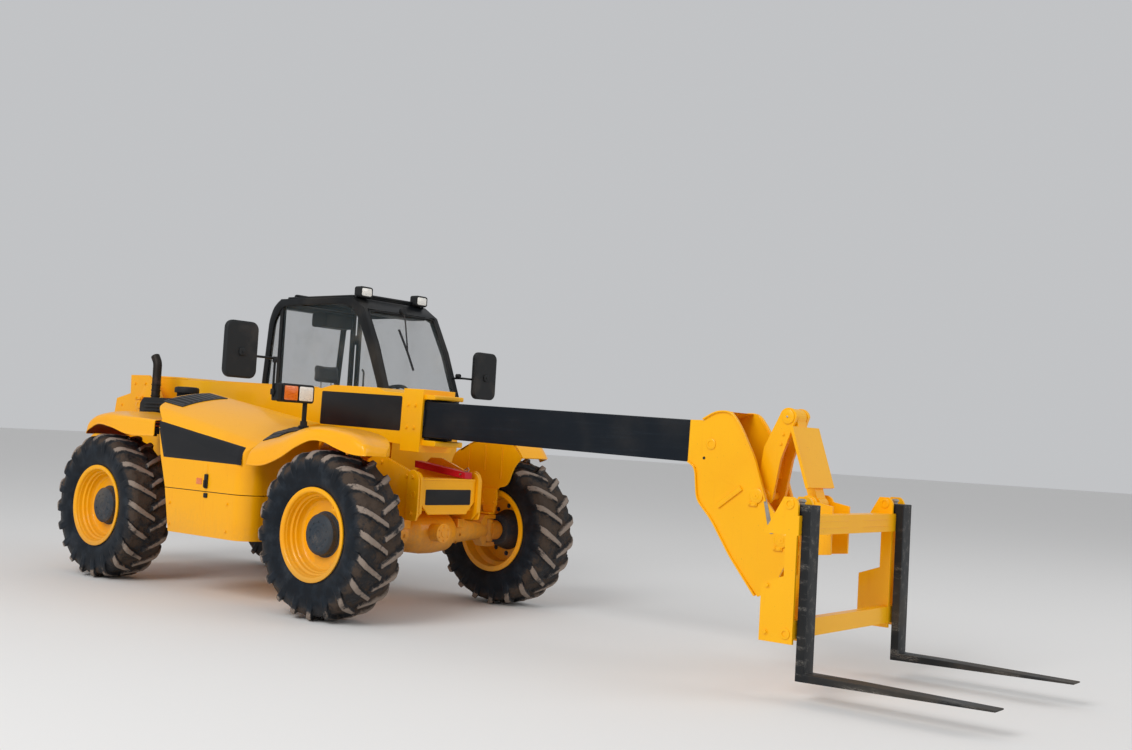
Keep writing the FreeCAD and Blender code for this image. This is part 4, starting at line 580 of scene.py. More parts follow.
def softened(node, material, body, width, segments):
    """A copy of a CAD solid with its triangles merged and its edges rounded."""
    mesh = NODES[node].data.copy()
    tidy = bmesh.new()
    tidy.from_mesh(mesh)
    bmesh.ops.remove_doubles(tidy, verts=tidy.verts, dist=2e-5)
    bmesh.ops.dissolve_limit(tidy, angle_limit=math.radians(0.8), verts=tidy.verts,
                             edges=tidy.edges, delimit={"NORMAL"})
    tidy.to_mesh(mesh)
    tidy.free()
    thing = bpy.data.objects.new(node + "_finished", mesh)
    bpy.context.collection.objects.link(thing)
    mesh.materials.clear()
    mesh.materials.append(material)
    settle(thing, body, [node], 32)
    round_off(thing, width, segments)


# Wheels

LUG_ANGLE = 2 * np.pi / 20      # from one lug to the next on a side of a tyre
LUG_RADIUS = 0.591              # where a lug's width and slant are measured
CORNERS = {"front_left": (WHEELBASE, 1), "front_right": (WHEELBASE, -1),
           "rear_left": (0.0, 1), "rear_right": (0.0, -1)}


def tyre_skin(around=600):
    """A tyre about the origin, and its marks: how much soil clings, and what is lug. Two
    lines run across the tyre from bead to bead: the crowned casing and the tops of the lugs.
    The skin slides from the first to the second by a share that is 1 on a lug and eases to 0
    beside it. A lug's middle moves round the wheel as it nears the shoulder, so the lugs lie
    slanted, and those of one side stand half a pitch off. Slanted waves then roughen the
    soil."""
    stations = [0, 0.15, 0.35, 0.43, 0.50, 0.60, 0.70, 0.80, 0.90, 0.96, 1.0]
    casing = [(0, 0.566), (0.060, 0.566), (0.140, 0.561), (0.160, 0.552), (0.175, 0.530),
              (0.187, 0.500), (0.193, 0.466), (0.193, 0.430), (0.188, 0.390), (0.179, 0.362),
              (0.166, 0.342)]
    crown = [(0, 0.6015), (0.062, 0.601), (0.146, 0.5965), (0.170, 0.588), (0.187, 0.568),
             (0.2, 0.538), (0.199, 0.498), (0.1935, 0.436), (0.188, 0.390), (0.179, 0.362),
             (0.166, 0.342)]
    half = np.concatenate([np.linspace(0, 0.5, 21), np.linspace(0.5, 1, 14)[1:]])
    v = np.concatenate([-half[:0:-1], half])
    side = np.where(v < 0, -1.0, 1.0)
    low, high = ([np.interp(np.abs(v), stations, [p[i] for p in line]) for i in (0, 1)]
                 for line in (casing, crown))
    angle = np.arange(around) * 2 * np.pi / around
    reach = np.clip(v / 0.6, -1, 1) * 0.2
    share = np.zeros((len(v), around))
    for hand, first in ((1, 0.5), (-1, 0.0)):
        out = reach * hand
        middle = 0.080 - 0.152 * (out + 0.014) / 0.214
        width = 0.022 + 0.010 * np.clip(out / 0.2, 0, 1)
        turn = (angle[None] - (middle / LUG_RADIUS)[:, None]) / LUG_ANGLE - first
        off = np.abs(turn - np.round(turn)) * LUG_ANGLE * LUG_RADIUS
        bar = 1 - ease(-0.006, 0.006, off - width[:, None])
        share = np.maximum(share, bar * ease(-0.020, -0.008, out)[:, None])
    share *= (1 - ease(0.74, 0.84, np.abs(v)))[:, None]
    across = (low[0] + (high[0] - low[0]) * share.T).T * side[:, None]
    radius = (low[1] + (high[1] - low[1]) * share.T).T
    spots = on_axis("y", across, radius * np.sin(angle), radius * np.cos(angle))
    band = 1 - ease(0.55, 0.72, np.abs(v))[:, None]
    clods = waves(spots, 0.09, 5) * 0.5 + waves(spots, 0.035, 6) * 0.5
    fill = band * (1 - share) * (0.006 + 0.006 * clods) + band * share * 0.0018 * (clods - 1)
    radius = np.minimum(radius + fill, 0.5985)
    skin = on_axis("y", across, radius * np.sin(angle), radius * np.cos(angle))
    edge = ease(0.45, 0.62, np.abs(v))[:, None]
    flank = 4 * share * (1 - share)
    soil = band * (0.55 + 0.12 * share - 0.5 * flank) - 0.12 * edge + 0.15 * waves(spots, 0.3, 7)
    beads = np.array([(0.165, 0.336), (0.1645, 0.3065), (-0.1645, 0.3065), (-0.165, 0.336)])
    shell = np.concatenate([skin, turned(beads, (0, 0, 0), "y", around)])
    bare = np.zeros((4, around))
    return shell, {"soil": np.concatenate([soil, bare]), "lug": np.concatenate([share, bare])}


def wheel_rings():
    """Outlines of the rim and of the hub (across from the wheel's plane, radius)."""
    rim = [(0.178, 0.335), (0.1635, 0.335), (0.1635, 0.3055), (0.095, 0.3055), (0.070, 0.273),
           (-0.060, 0.273), (-0.085, 0.3055), (-0.1635, 0.3055), (-0.1635, 0.335),
           (-0.178, 0.335), (-0.178, 0.293), (-0.092, 0.293), (-0.066, 0.260), (0.026, 0.260),
           (0.030, 0.240), (0.030, 0.140), (0.043, 0.140), (0.042, 0.232), (0.050, 0.246),
           (0.068, 0.255), (0.088, 0.260), (0.093, 0.269), (0.116, 0.272), (0.123, 0.285),
           (0.148, 0.289), (0.155, 0.294), (0.170, 0.298), (0.178, 0.309)]
    hub = [(0.104, 0.0), (0.104, 0.026), (0.1085, 0.030), (0.1085, 0.052), (0.112, 0.058),
           (0.112, 0.074), (0.1095, 0.078), (0.1095, 0.086), (0.112, 0.090), (0.112, 0.121),
           (0.096, 0.146), (0.062, 0.1475), (0.0605, 0.151), (0.046, 0.151), (0.0445, 0.165),
           (0.028, 0.165), (-0.078, 0.131), (-0.105, 0.118), (-0.105, 0.0618), (0.058, 0.0618),
           (0.058, 0.0)]
    return rounded(rim, 0.004, 3), rounded(hub, [0] + [0.004] * 18 + [0.001, 0], 3)


def make_wheels():
    """On each corner the tyre, the rim, the hub with its nuts, and the valve under its guard."""
    shell, marks = tyre_skin()
    rim, hub = wheel_rings()
    for name, (x, hand) in CORNERS.items():
        centre = np.array([x, hand * WHEEL_Y, AXLE_Z])
        body = name + "_wheel"
        mirrored = (1, hand, 1)
        Form().add(shell + centre, round_rows=True).piece(
            "tyre_skin_" + name, RUBBER, body, "tyre_" + name, marks=marks, sharp=50)
        Form().add(turned(rim * (hand, 1), centre, steps=120), round_rows=True).piece(
            "rim_" + name + "_rings", RIM_YELLOW, body, "rim_" + name, sharp=50)
        Form().add(turned(hub * (hand, 1), centre, steps=72), round_rows=True).piece(
            "hub_" + name, HUB_GREY, body, "rim_" + name, sharp=40)
        nuts = Form()
        nuts.bolts(circle(10, 0.195, "y", hand * 0.030) + centre, 0.013, "y", -hand)
        nuts.bolts(circle(10, 0.091, "y", hand * 0.112) + centre, 0.0045, "y", hand)
        nuts.piece("wheel_nuts_" + name, HUB_GREY, body)
        guard = Form()
        for foot, height, axis in (((0.124, 0.176), (0.175, 0.195), "z"),
                                   ((0.120, 0.132), (0.175, 0.230), "y")):
            guard.add(block(foot, (0.046, 0.104), height, 0.004, 0.003, axis) * mirrored + centre)
        guard.piece("valve_guard_" + name, RIM_YELLOW, body)
        path = [(0.15, 0.044, 0.215), (0.15, 0.085, 0.215), (0.155, 0.12, 0.222)]
        Form().add(carried(path, ring(0.0045, 10), (1, 0, 0), 0.02) * mirrored + centre).piece(
            "valve_" + name, TRIM_BLACK, body)


make_wheels()


# Wings and engine cover

WING_MIDDLE = 0.64 * WING_Y     # where a wing's middle line runs, from the centre line
WING_SHOULDER = 0.8 * WING_Y    # where its shoulder runs
WING_BEND = 0.55                # how far the bend over the middle rises towards the crown
NOSE = 0.05                     # length over which a wing's free end falls
FREE_CORNER = 0.13              # radius of a wing's free corner, seen from above


def wing(name, rows, inner, arch, steps, free, hand, node, waist=()):
    """A wing of rolled sheet. Its rows (x, then the heights of crown, middle, shoulder, outer
    edge and lip) are joined along x by smooth lines. Each section runs up the inner wall,
    over the crown and down to the arch's line, with rounded corners, and turns out in a
    narrow lip. A waist (x, then the inner wall's place) draws the section together towards
    its outer edge, in proportion to the distance from it. Towards the free end the outer
    edge comes in on a quarter circle, and the last rows fall to the arch by the cosine of an
    angle as they move out by its sine."""
    x = np.linspace(rows[0, 0] + (free < 0) * NOSE, rows[-1, 0] - (free > 0) * NOSE, steps)[::free]
    z = through(rows[:, 0], rows[:, 1:], x)
    foot = through(arch[:, 0], arch[:, 1:], x)[:, 0]
    y = np.array([inner, inner, WING_MIDDLE, WING_SHOULDER, WING_Y - 0.09, WING_Y - 0.03,
                  WING_Y - 0.004, WING_Y - 0.004, WING_Y + 0.004])
    heights = np.stack([foot, z[:, 0], z[:, 1] + (z[:, 0] - z[:, 1]) * WING_BEND, z[:, 1],
                        z[:, 2], z[:, 3], z[:, 4],
                        np.minimum(foot + 0.008, z[:, 4] - 0.004), foot], -1)
    corners = [0, 0.03, 0.05, 0.08, 0.06, 0.03, 0.03, 0.005, 0]
    lines = np.stack([rounded(np.stack([y, height], -1), corners, 5, closed=False)
                      for height in heights])
    grid = np.concatenate([np.repeat(x[:, None, None], lines.shape[1], 1), lines], -1)
    fall = np.linspace(0, np.pi / 2, 9)[1:]
    last = grid[-1]
    tail = np.repeat(last[None], len(fall), 0)
    tail[..., 0] += (free * NOSE * np.sin(fall))[:, None]
    tail[..., 2] = foot[-1] + (last[None, :, 2] - foot[-1]) * np.cos(fall)[:, None]
    grid = np.concatenate([grid, tail])
    end = x[-1] + free * NOSE
    into = np.clip(FREE_CORNER - np.abs(grid[..., 0] - end), 0, FREE_CORNER)
    draw = FREE_CORNER - np.sqrt(FREE_CORNER ** 2 - into ** 2)
    grid[..., 1] -= draw * ease(WING_Y - 0.35, WING_Y, grid[..., 1])
    if waist:
        wall = np.maximum(np.interp(grid[..., 0], *np.array(waist).T), inner)
        grid[..., 1] = WING_Y - (WING_Y - grid[..., 1]) * (WING_Y - wall) / (WING_Y - inner)
    form = Form().add(grid * (1, hand, 1), round_columns=False, caps=False)
    thing = form.piece(name, YELLOW, "chassis", node, sheet=True, sharp=60)
    # The sheet's inner face takes the underside finish, whose darker colour is painted shade under the
    # wing.
    thing.data.materials.append(UNDERWING_SHADE)
    normals = np.empty(len(thing.data.polygons) * 3)
    thing.data.polygons.foreach_get("normal", normals)
    if normals.reshape(-1, 3)[:, 2].sum() < 0:
        thing.data.flip_normals()
    sheet = thing.modifiers.new("sheet", "SOLIDIFY")
    sheet.thickness = 0.007
    sheet.offset = -1
    sheet.material_offset = 1
    round_off(thing, 0.0015, 2, 50)


def front_wing_rows():
    """The right front wing's rows, written in millimetres and given in metres."""
    axle = WHEELBASE * 1000
    return np.array([
        (1996, 1384, 1288, 1200, 1150, 1065),
        (axle - 590, 1352, 1300, 1236, 1180, 1085),
        (axle - 370, 1362, 1336, 1292, 1240, 1150),
        (axle - 100, 1360, 1364, 1350, 1330, 1284),
        (axle + 170, 1330, 1352, 1346, 1330, 1288),
        (axle + 380, 1276, 1302, 1300, 1286, 1246),
        (axle + 500, 1214, 1234, 1232, 1226, 1206)]) / 1000


def make_wings():
    """Right front, both rear. The arches' lines and the rear rows are written in millimetres
    and given in metres, the waist in metres."""
    axle = WHEELBASE * 1000
    arch = np.array([(1976, 1050), (axle - 560, 1060), (axle - 377, 1122), (axle - 200, 1210),
                     (axle - 40, 1262), (axle + 80, 1258), (axle + 220, 1220),
                     (axle + 360, 1188), (axle + 520, 1174)]) / 1000
    waist = [(2.30, FRAME_Y), (2.36, 0.40), (2.43, 0.55), (2.50, 0.64), (2.60, 0.675),
             (2.80, 0.68), (2.95, 0.69), (3.06, 0.73), (3.15, 0.79), (3.21, 0.85), (3.25, 0.92)]
    wing("wing_front_right", front_wing_rows(), FRAME_Y, arch, 90, 1, -1, "front_right_wing", waist)
    arch = np.array([(-320, 1146), (-180, 1216), (-37, 1276), (165, 1264), (390, 1218),
                     (820, 1212)]) / 1000
    rows = np.array([(-280, 1206, 1203, 1196, 1186, 1160), (-190, 1318, 1314, 1304, 1290, 1262),
                     (30, 1402, 1396, 1384, 1368, 1336), (230, 1390, 1386, 1378, 1368, 1346),
                     (540, 1356, 1356, 1355, 1354, 1350),
                     (790, 1346, 1345, 1344, 1342, 1336)]) / 1000
    wing("wing_rear_right", rows, COWL_Y, arch, 70, -1, -1, "rear_wings")
    wing("wing_rear_left", rows[:4], FRAME_Y, arch, 50, -1, 1, "rear_wings")


make_wings()


def make_left_wing():
    """The wing that the left knuckle carries: a sheet on a rounded line with a rolled outer
    edge, its free corner on a quarter circle seen from above, a cheek and a foot."""
    front = WHEELBASE
    sheet, roll, corner = 0.011, 0.07, 0.16
    line = rounded([(front - 0.348, 1.238), (front - 0.190, 1.328), (front + 0.205, 1.328),
                    (front + 0.275, 1.285), (front + 0.336, 1.203)],
                   [0, 0.14, 0.09, 0.09, 0], 8, closed=False)
    ahead = np.gradient(line, axis=0)
    ahead /= np.linalg.norm(ahead, axis=1, keepdims=True)
    under = line + np.stack([ahead[:, 1], -ahead[:, 0]], -1) * sheet
    section = np.concatenate([line, under[::-1]])
    y = np.concatenate([[CHEEK_INNER, CHEEK_INNER + 0.001],
                        np.linspace(0.738, WING_Y - 0.001, 26), [WING_Y]])
    grid = on_axis("y", y[:, None], section[:, 0], section[:, 1])
    rim = np.clip((grid[..., 1] - WING_Y + roll) / roll, 0, 1)
    grid[..., 2] -= 0.030 * (1 - np.sqrt(1 - rim ** 2))
    into = np.clip(grid[..., 1] - WING_Y + corner, 0, corner)
    grid[..., 0] -= (corner - np.sqrt(corner ** 2 - into ** 2)) * ease(front, front + 0.33,
                                                                       grid[..., 0])
    form = Form().add(grid)
    form.add(slab([(front - 0.06, 0.746), (front + 0.06, 0.746), (front + 0.08, 0.95),
                   (front + 0.19, 0.965), (front + 0.24, 1.12), (front + 0.325, 1.20),
                   (front + 0.21, 1.322), (front - 0.19, 1.322), (front - 0.445, 1.20),
                   (front - 0.445, 1.0), (front - 0.25, 0.96), (front - 0.08, 0.95)],
                  CHEEK_INNER, 0.7385, "y",
                  [0.01, 0.01, 0.04, 0.07, 0.12, 0.02, 0.08, 0.12, 0.09, 0.09, 0.09, 0.05], 0.003))
    form.box((front - 0.058, front + 0.058), (0.674, 0.738), (0.732, 0.746), 0.008, 0.003, "z")
    form.piece("wing_front_left", YELLOW, "front_left_knuckle", "front_left_wing")


make_left_wing()


def along_cover(x, rear, front):
    """A height that runs straight from the cover's rear end to its front end."""
    return rear + (front - rear) * (x - 0.58) / 1.41


def cover_skin(x, y):
    """Height of the engine cover's crown at a place: the arc from the hinge edge to the
    shoulder, whose ends fall along x in straight lines."""
    top = along_cover(x, 1.590, 1.3845)
    shoulder = along_cover(x, 1.475, 1.2105)
    radius = 1.7
    half = 0.28
    drop = (top - shoulder) / 2
    chord = np.hypot(half, drop)
    rise = np.sqrt(radius ** 2 - chord ** 2)
    centre_y = -0.73 + rise * drop / chord
    centre_z = (top + shoulder) / 2 - rise * half / chord
    return centre_z + np.sqrt(radius ** 2 - (y - centre_y) ** 2)


def cover_side(x, z):
    """How far out the cover's side is at a place: upright below the shoulder, and above it
    on an arc of 0.26 m."""
    shoulder = along_cover(x, 1.420, 1.1555)
    arc = -0.8709 - np.sqrt(np.maximum(0.26 ** 2 - (z - shoulder + 0.1647) ** 2, 0))
    return np.where(z > shoulder - 0.09, np.maximum(arc, -1.12), -1.12)


def wing_skin(x, y):
    """Height of the front wing's top between its crown and its middle, straight across."""
    rows = front_wing_rows()[:3]
    crown, middle, shoulder = (through(rows[:, 0], rows[:, i:i + 1], x.ravel()).reshape(x.shape)
                               for i in (1, 2, 3))
    bend = middle + (crown - middle) * WING_BEND
    out = -y
    inner = crown + (bend - crown) * (out - FRAME_Y) / (WING_MIDDLE - FRAME_Y)
    outer = bend + (middle - bend) * (out - WING_MIDDLE) / (WING_SHOULDER - WING_MIDDLE)
    last = middle + (shoulder - middle) * (out - WING_SHOULDER) / (WING_Y - 0.09 - WING_SHOULDER)
    return np.where(out < WING_MIDDLE, inner, np.where(out < WING_SHOULDER, outer, last))


def patch(corners, rows, columns):
    """Shares s and t of the way along and across a four-cornered field, and the two
    coordinates of the place between its corners that they give."""
    s, t = np.meshgrid(np.linspace(0, 1, rows), np.linspace(0, 1, columns), indexing="ij")
    weights = ((1 - s) * (1 - t), s * (1 - t), s * t, (1 - s) * t)
    place = sum(weight[..., None] * np.array(corner) for weight, corner in zip(weights, corners))
    return s, t, place[..., 0], place[..., 1]


def two_faced(front, back):
    """A thin form: two grids of one size, joined round their rims."""
    number = np.arange(front.shape[0] * front.shape[1]).reshape(front.shape[:2])
    edge = np.concatenate([number[0], number[1:, -1], number[-1, -2::-1], number[-2:0:-1, 0]])
    form = Form()
    form.add(front, round_columns=False, caps=False)
    form.add(back, round_columns=False, caps=False)
    return form.add(np.stack([front, back]).reshape(2, -1, 3)[:, edge], caps=False)


def side_sign(corners):
    """A thin blank sign that follows the cover's side, its rim pressed back to the skin."""
    s, t, x, z = patch(corners, 60, 24)
    rim = np.minimum(np.minimum(s, 1 - s) * 25, np.minimum(t, 1 - t) * 10)
    skin = cover_side(x, z)
    front = np.stack([x, skin - 0.0025 * ease(0, 1, rim), z], -1)
    two_faced(front, np.stack([x, skin + 0.003, z], -1)).piece("side_sign", SIGN_BLACK, "hood", sharp=50)


def ribbed(name, corners, skin, bars, lift, body, *nodes):
    """A black louvre pressed out of one sheet: between four corners on a skin the surface
    rises and falls as a row of slanted teeth, high at one side of each bar and low at the
    other, and meets the skin again at its rim."""
    s, t, x, y = patch(corners, bars * 12 + 1, 40)
    phase = (s * bars) % 1
    tooth = ease(0, 0.18, phase) * (1 - ease(0.45, 0.98, phase))
    inside = ease(0.03, 0.045, np.minimum(s, 1 - s)) * ease(0.04, 0.06, np.minimum(t, 1 - t))
    height = lift * (0.55 * (1 - inside) + inside * (tooth - 0.15))
    base = skin(x, y)
    top = np.stack([x, y, base + height + 0.0012], -1)
    two_faced(top, np.stack([x, y, base - 0.006], -1)).piece(name, SIGN_BLACK, body, *nodes, sharp=40)


side_sign([(0.815, 1.335), (1.900, 1.172), (1.915, 1.040), (0.925, 1.052)])
ribbed("cover_louvre", [(0.612, -0.50), (0.612, -0.95), (0.858, -0.93), (0.858, -0.50)],
       cover_skin, 9, 0.010, "hood")
ribbed("wing_louvre", [(2.020, -0.63), (2.010, -1.01), (2.165, -0.985), (2.165, -0.63)],
       wing_skin, 8, 0.012, "chassis", "front_right_wing")


# CAD solids that keep their form: material, body, width of the rounding and its segments

for node, material, body, width, segments in (
        ("hood", YELLOW, "hood", 0.006, 3),
        ("lower_panel", YELLOW, "chassis", 0.006, 3),
        ("chassis_frame", YELLOW, "chassis", 0.004, 2),
        ("front_panel", YELLOW, "chassis", 0.005, 3),
        ("counterweight", YELLOW, "chassis", 0.012, 3),
        ("front_axle", AXLE_ORANGE, "chassis", 0.006, 2),
        ("rear_axle", AXLE_ORANGE, "chassis", 0.006, 2),
        ("rear_cowl", TRIM_BLACK, "chassis", 0.012, 3),
        ("exhaust", EXHAUST_STEEL, "chassis", 0.003, 2),
        ("cab_frame", CAB_BLACK, "chassis", 0.013, 3),
        ("cab_roof", CAB_BLACK, "chassis", 0.008, 3),
        ("cab_lower", YELLOW, "chassis", 0.012, 3),
        ("cab_inside", TRIM_BLACK, "chassis", 0.012, 3),
        ("steering_wheel", TRIM_BLACK, "chassis", 0.003, 2),
        ("door", CAB_BLACK, "door", 0.008, 3),
        ("tank", TRIM_BLACK, "chassis", 0.014, 3),
        ("lamps", TRIM_BLACK, "chassis", 0.008, 3),
        ("mirrors", TRIM_BLACK, "chassis", 0.014, 4),
        ("lamp_bracket", CAB_BLACK, "chassis", 0.003, 2),
        ("outer_boom", BOOM_YELLOW, "boom", 0.006, 3),
        ("inner_boom", BOOM_NAVY, "extension", 0.009, 3),
        ("boom_head", BOOM_YELLOW, "extension", 0.005, 3),
        ("tilt_lever", BOOM_YELLOW, "lever", 0.005, 3),
        ("tilt_link", BOOM_YELLOW, "link", 0.006, 3),
        ("fork_carriage", BOOM_YELLOW, "carriage", 0.004, 3),
        ("forks", FORK_STEEL, "carriage", 0.006, 3),
        ("lift_barrel", BOOM_YELLOW, "barrel", 0.004, 2),
        ("safety_strut", STRUT_RED, "chassis", 0.004, 2)):
    softened(node, material, body, width, segments)
for corner in CORNERS:
    softened("knuckle_" + corner, AXLE_ORANGE, corner + "_knuckle", 0.004, 2)
for node, material in (("cab_glass", GLASS), ("door_glass", GLASS), ("engine_block", CAB_BLACK),
                       ("lift_rod", BARE_STEEL), ("seat", SEAT_CLOTH)):
    NODES[node].data.materials.clear()
    NODES[node].data.materials.append(material)


# Boom, head and linkage

def make_boom():
    """Signs, pad bolts, the mouth's lips, slide pads and weld seams."""
    for side, tag in SIDES:
        sign = Form()
        sign.box((2.33, 3.268), span(side, 0.1652, 0.1674), (-0.032, 0.236), 0.016, 0.001)
        sign.piece("boom_sign_" + tag, SIGN_BLACK, "boom", boom=True)
        bolts = Form()
        bolts.bolts([(u, side * 0.175, w) for w in (0.0, 0.17) for u in (3.345, 3.425)], 0.011, "y", side)
        bolts.piece("slide_pad_bolts_" + tag, BOOM_YELLOW, "boom", boom=True)
    lips = Form()
    lips.box((3.49, 3.61), (-0.158, 0.158), (0.222, 0.258), 0.012, 0.004)
    lips.box((3.49, 3.64), (-0.150, 0.150), (-0.130, -0.088), 0.012, 0.004)
    lips.piece("boom_mouth_lips", BOOM_YELLOW, "boom", boom=True)
    pads = Form()
    for w in ((0.2065, 0.2205), (-0.0865, -0.0665)):
        pads.box((3.49, 3.545), (-0.130, 0.130), w, 0.004, 0.002)
    for side in (-1, 1):
        pads.box((3.47, 3.512), span(side, 0.1455, 0.158), (0.02, 0.14), 0.003, 0.0015)
    pads.piece("slide_pads", TRIM_BLACK, "boom", boom=True)
    seam = Form()
    for side in (-1, 1):
        y = side * 0.1655
        seam.rod([(0.05, y, 0.262), (2.28, y, 0.262)], 0.0035, (0, 1, 0), sides=8)
        seam.rod([(0.05, y, -0.086), (3.2, y, -0.125)], 0.0035, (0, 1, 0), sides=8)
    seam.piece("boom_weld_seams", BOOM_YELLOW, "boom", boom=True)


make_boom()


def make_head_flange():
    """The welded strips along the head's two edges and a short one across each cheek."""
    under = [(5.925, 0, -0.062), (5.984, 0, -0.094), (6.012, 0, -0.296), (6.132, 0, -0.412),
             (6.280, 0, -0.618), (6.475, 0, -0.840)]
    front = [(6.018, 0, 0.214), (6.112, 0, 0.270), (6.222, 0, 0.274), (6.300, 0, 0.180),
             (6.412, 0, -0.012), (6.508, 0, -0.262)]
    strip = rounded(oblong(0.005, 0.013), 0.003, 3)
    wide_strip = rounded(oblong(0.017, 0.01105), 0.005, 3)
    rim = Form()
    for side in (-1, 1):
        for line in (under, front):
            rim.add(carried(np.array(line) + (0, side * 0.171, 0), strip, (0, 1, 0), 0.05))
        rim.add(carried([(6.170, side * 0.172, -0.322), (6.330, side * 0.172, -0.196)],
                        wide_strip, (0, 1, 0)))
    rim.piece("head_flange", BOOM_YELLOW, "extension", boom=True)


def make_head_details():
    """Bosses, the rings and keepers of the two pins, plugs and wear strips on the cheeks."""
    bosses, keepers, caps, plugs, wear = (Form() for _ in range(5))
    for side in (-1, 1):
        bosses.turn([(0, 0), (0, 0.036), (0.0049, 0.036), (0.007, 0.03312), (0.007, 0.0198),
                     (0.0035, 0.018), (0.0035, 0)], (6.086, side * 0.170, 0.060), "y", 36, side)
        for u, w in ((6.4392, -0.2338), (6.6331, -0.4847)):
            caps.turn([(0, 0), (0, 0.047), (0.008, 0.047), (0.011, 0.042), (0.0115, 0.027),
                       (0.0115, 0)], (u, side * 0.1702, w), "y", 40, side)
            caps.turn([(0, 0), (0, 0.0225), (0.002, 0.020), (0.002, 0.006), (0.006, 0.004),
                       (0.006, 0)], (u, side * 0.1822, w), "y", 28, side)
            keepers.box((u - 0.052, u + 0.012), span(side, 0.171, 0.181), (w - 0.066, w - 0.040),
                        0.006, 0.002)
            keepers.bolts([(u - 0.040, side * 0.181, w - 0.053), (u, side * 0.181, w - 0.053)],
                          0.0075, "y", side)
        plugs.turn([(0, 0), (0, 0.010), (0.002, 0.0085), (0.0005, 0.006), (0.0005, 0)],
                   (6.041, side * 0.170, -0.032), "y", 20, side)
        wear.add(slab([(6.494, -0.262), (6.512, -0.246), (6.560, -0.400), (6.575, -0.452),
                       (6.552, -0.455), (6.528, -0.395)],
                      *span(side, 0.1705, 0.1735), "y", 0.006, 0.001))
    bosses.piece("head_bosses", BOOM_YELLOW, "extension", boom=True)
    caps.piece("head_pin_rings", BOOM_YELLOW, "extension", boom=True)
    keepers.piece("head_pin_keepers", BOOM_YELLOW, "extension", boom=True)
    plugs.piece("head_plugs", TRIM_BLACK, "extension", boom=True)
    wear.piece("head_wear_strips", WORN_STEEL, "extension", boom=True)


def make_lever_details():
    """Rings round the lever's two eyes, bolts between them and a grease nipple on each side."""
    rings, grease = Form(), Form()
    for side in (-1, 1):
        face = side * 0.0885
        rings.turn([(0, 0), (0, 0.044), (0.007, 0.044), (0.009, 0.040), (0.009, 0)],
                   (5.900, face, 1.585), "y", 36, side)
        rings.turn([(0, 0), (0, 0.043), (0.006, 0.043), (0.008, 0.039), (0.008, 0)],
                   (5.760, face, 1.090), "y", 36, side)
        rings.bolts([(5.872, face, 1.475), (5.858, face, 1.415)], 0.008, "y", side)
        grease.turn([(0, 0), (0, 0.006), (0.004, 0.006), (0.005, 0.0035), (0.011, 0.0035),
                     (0.012, 0)], (5.900, side * 0.098, 1.585), "y", 12, side)
    rings.piece("lever_eye_rings", BOOM_YELLOW, "lever")
    grease.piece("lever_grease_nipples", BARE_STEEL, "lever")


make_head_flange()
make_head_details()
make_lever_details()


def make_carriage():
    """Bushes of the carriage's plates, bolts, the forks' lock pins and weld lines."""
    bushes, bolts, locks, welds = (Form() for _ in range(4))
    for side in (-1, 1):
        for y, way in ((0.705, side), (0.522, -side)):
            for x, z in ((6.276, 1.082), (6.285, 0.365)):
                bushes.turn([(0, 0), (0, 0.030), (0.005, 0.030), (0.006, 0.027), (0.006, 0.017),
                             (0.001, 0.016), (0.001, 0)], (x, side * y, z), "y", 32, way)
        bushes.turn([(0, 0), (0, 0.045), (0.006, 0.045), (0.008, 0.041), (0.008, 0.030),
                     (0.004, 0.028), (0.004, 0)], (6.080, side * 0.1182, 1.060), "y", 36, side)
        bolts.bolts([(6.16, side * 0.705, z) for z in (0.62, 0.36)], 0.012, "y", side)
        locks.turn([(0, 0), (0, 0.016), (0.012, 0.016), (0.016, 0.022), (0.026, 0.022),
                    (0.032, 0.014), (0.032, 0)], (6.305, side * 0.6135, 1.0795), "z", 24)
        for z in (0.945, 0.985):
            welds.rod([(6.3402, side * 0.50, z), (6.3402, side * 0.10, z)], 0.0022, (0, 0, 1),
                      sides=8)
    bushes.piece("carriage_bushes", BOOM_YELLOW, "carriage")
    bolts.piece("carriage_bolts", BOOM_YELLOW, "carriage")
    locks.piece("fork_lock_pins", BARE_STEEL, "carriage")
    welds.piece("beam_weld_lines", BOOM_YELLOW, "carriage")


make_carriage()


# Cab, lamps and mirrors

def make_window_seals():
    """Rubber round both faces of the right window and round the windscreen."""
    right_side = np.array([
        (0.41, 0, 1.383), (0.41, 0, 1.72), (0.462, 0, 2.28), (0.52, 0, 2.362), (0.585, 0, 2.437),
        (1.478, 0, 2.437), (1.612, 0, 2.358), (1.781, 0, 2.058), (1.947, 0, 1.682),
        (1.967, 0, 1.383)])
    rise = [(1.999, 1.39), (1.982, 1.68), (1.822, 2.068), (1.662, 2.366)]
    screen = [(x, 0.268, z) for x, z in rise] + [(x, 1.052, z) for x, z in rise[::-1]]
    seal = Form()
    for y in (0.2245, 0.2555):
        seal.hoop(right_side + (0, y, 0), ring(0.008, 10), (0, 1, 0), 0.06)
    seal.hoop(screen, ring(0.007, 10), (0.2, 0.01, 1.0), 0.04)
    seal.piece("window_seals", TRIM_BLACK, "chassis")


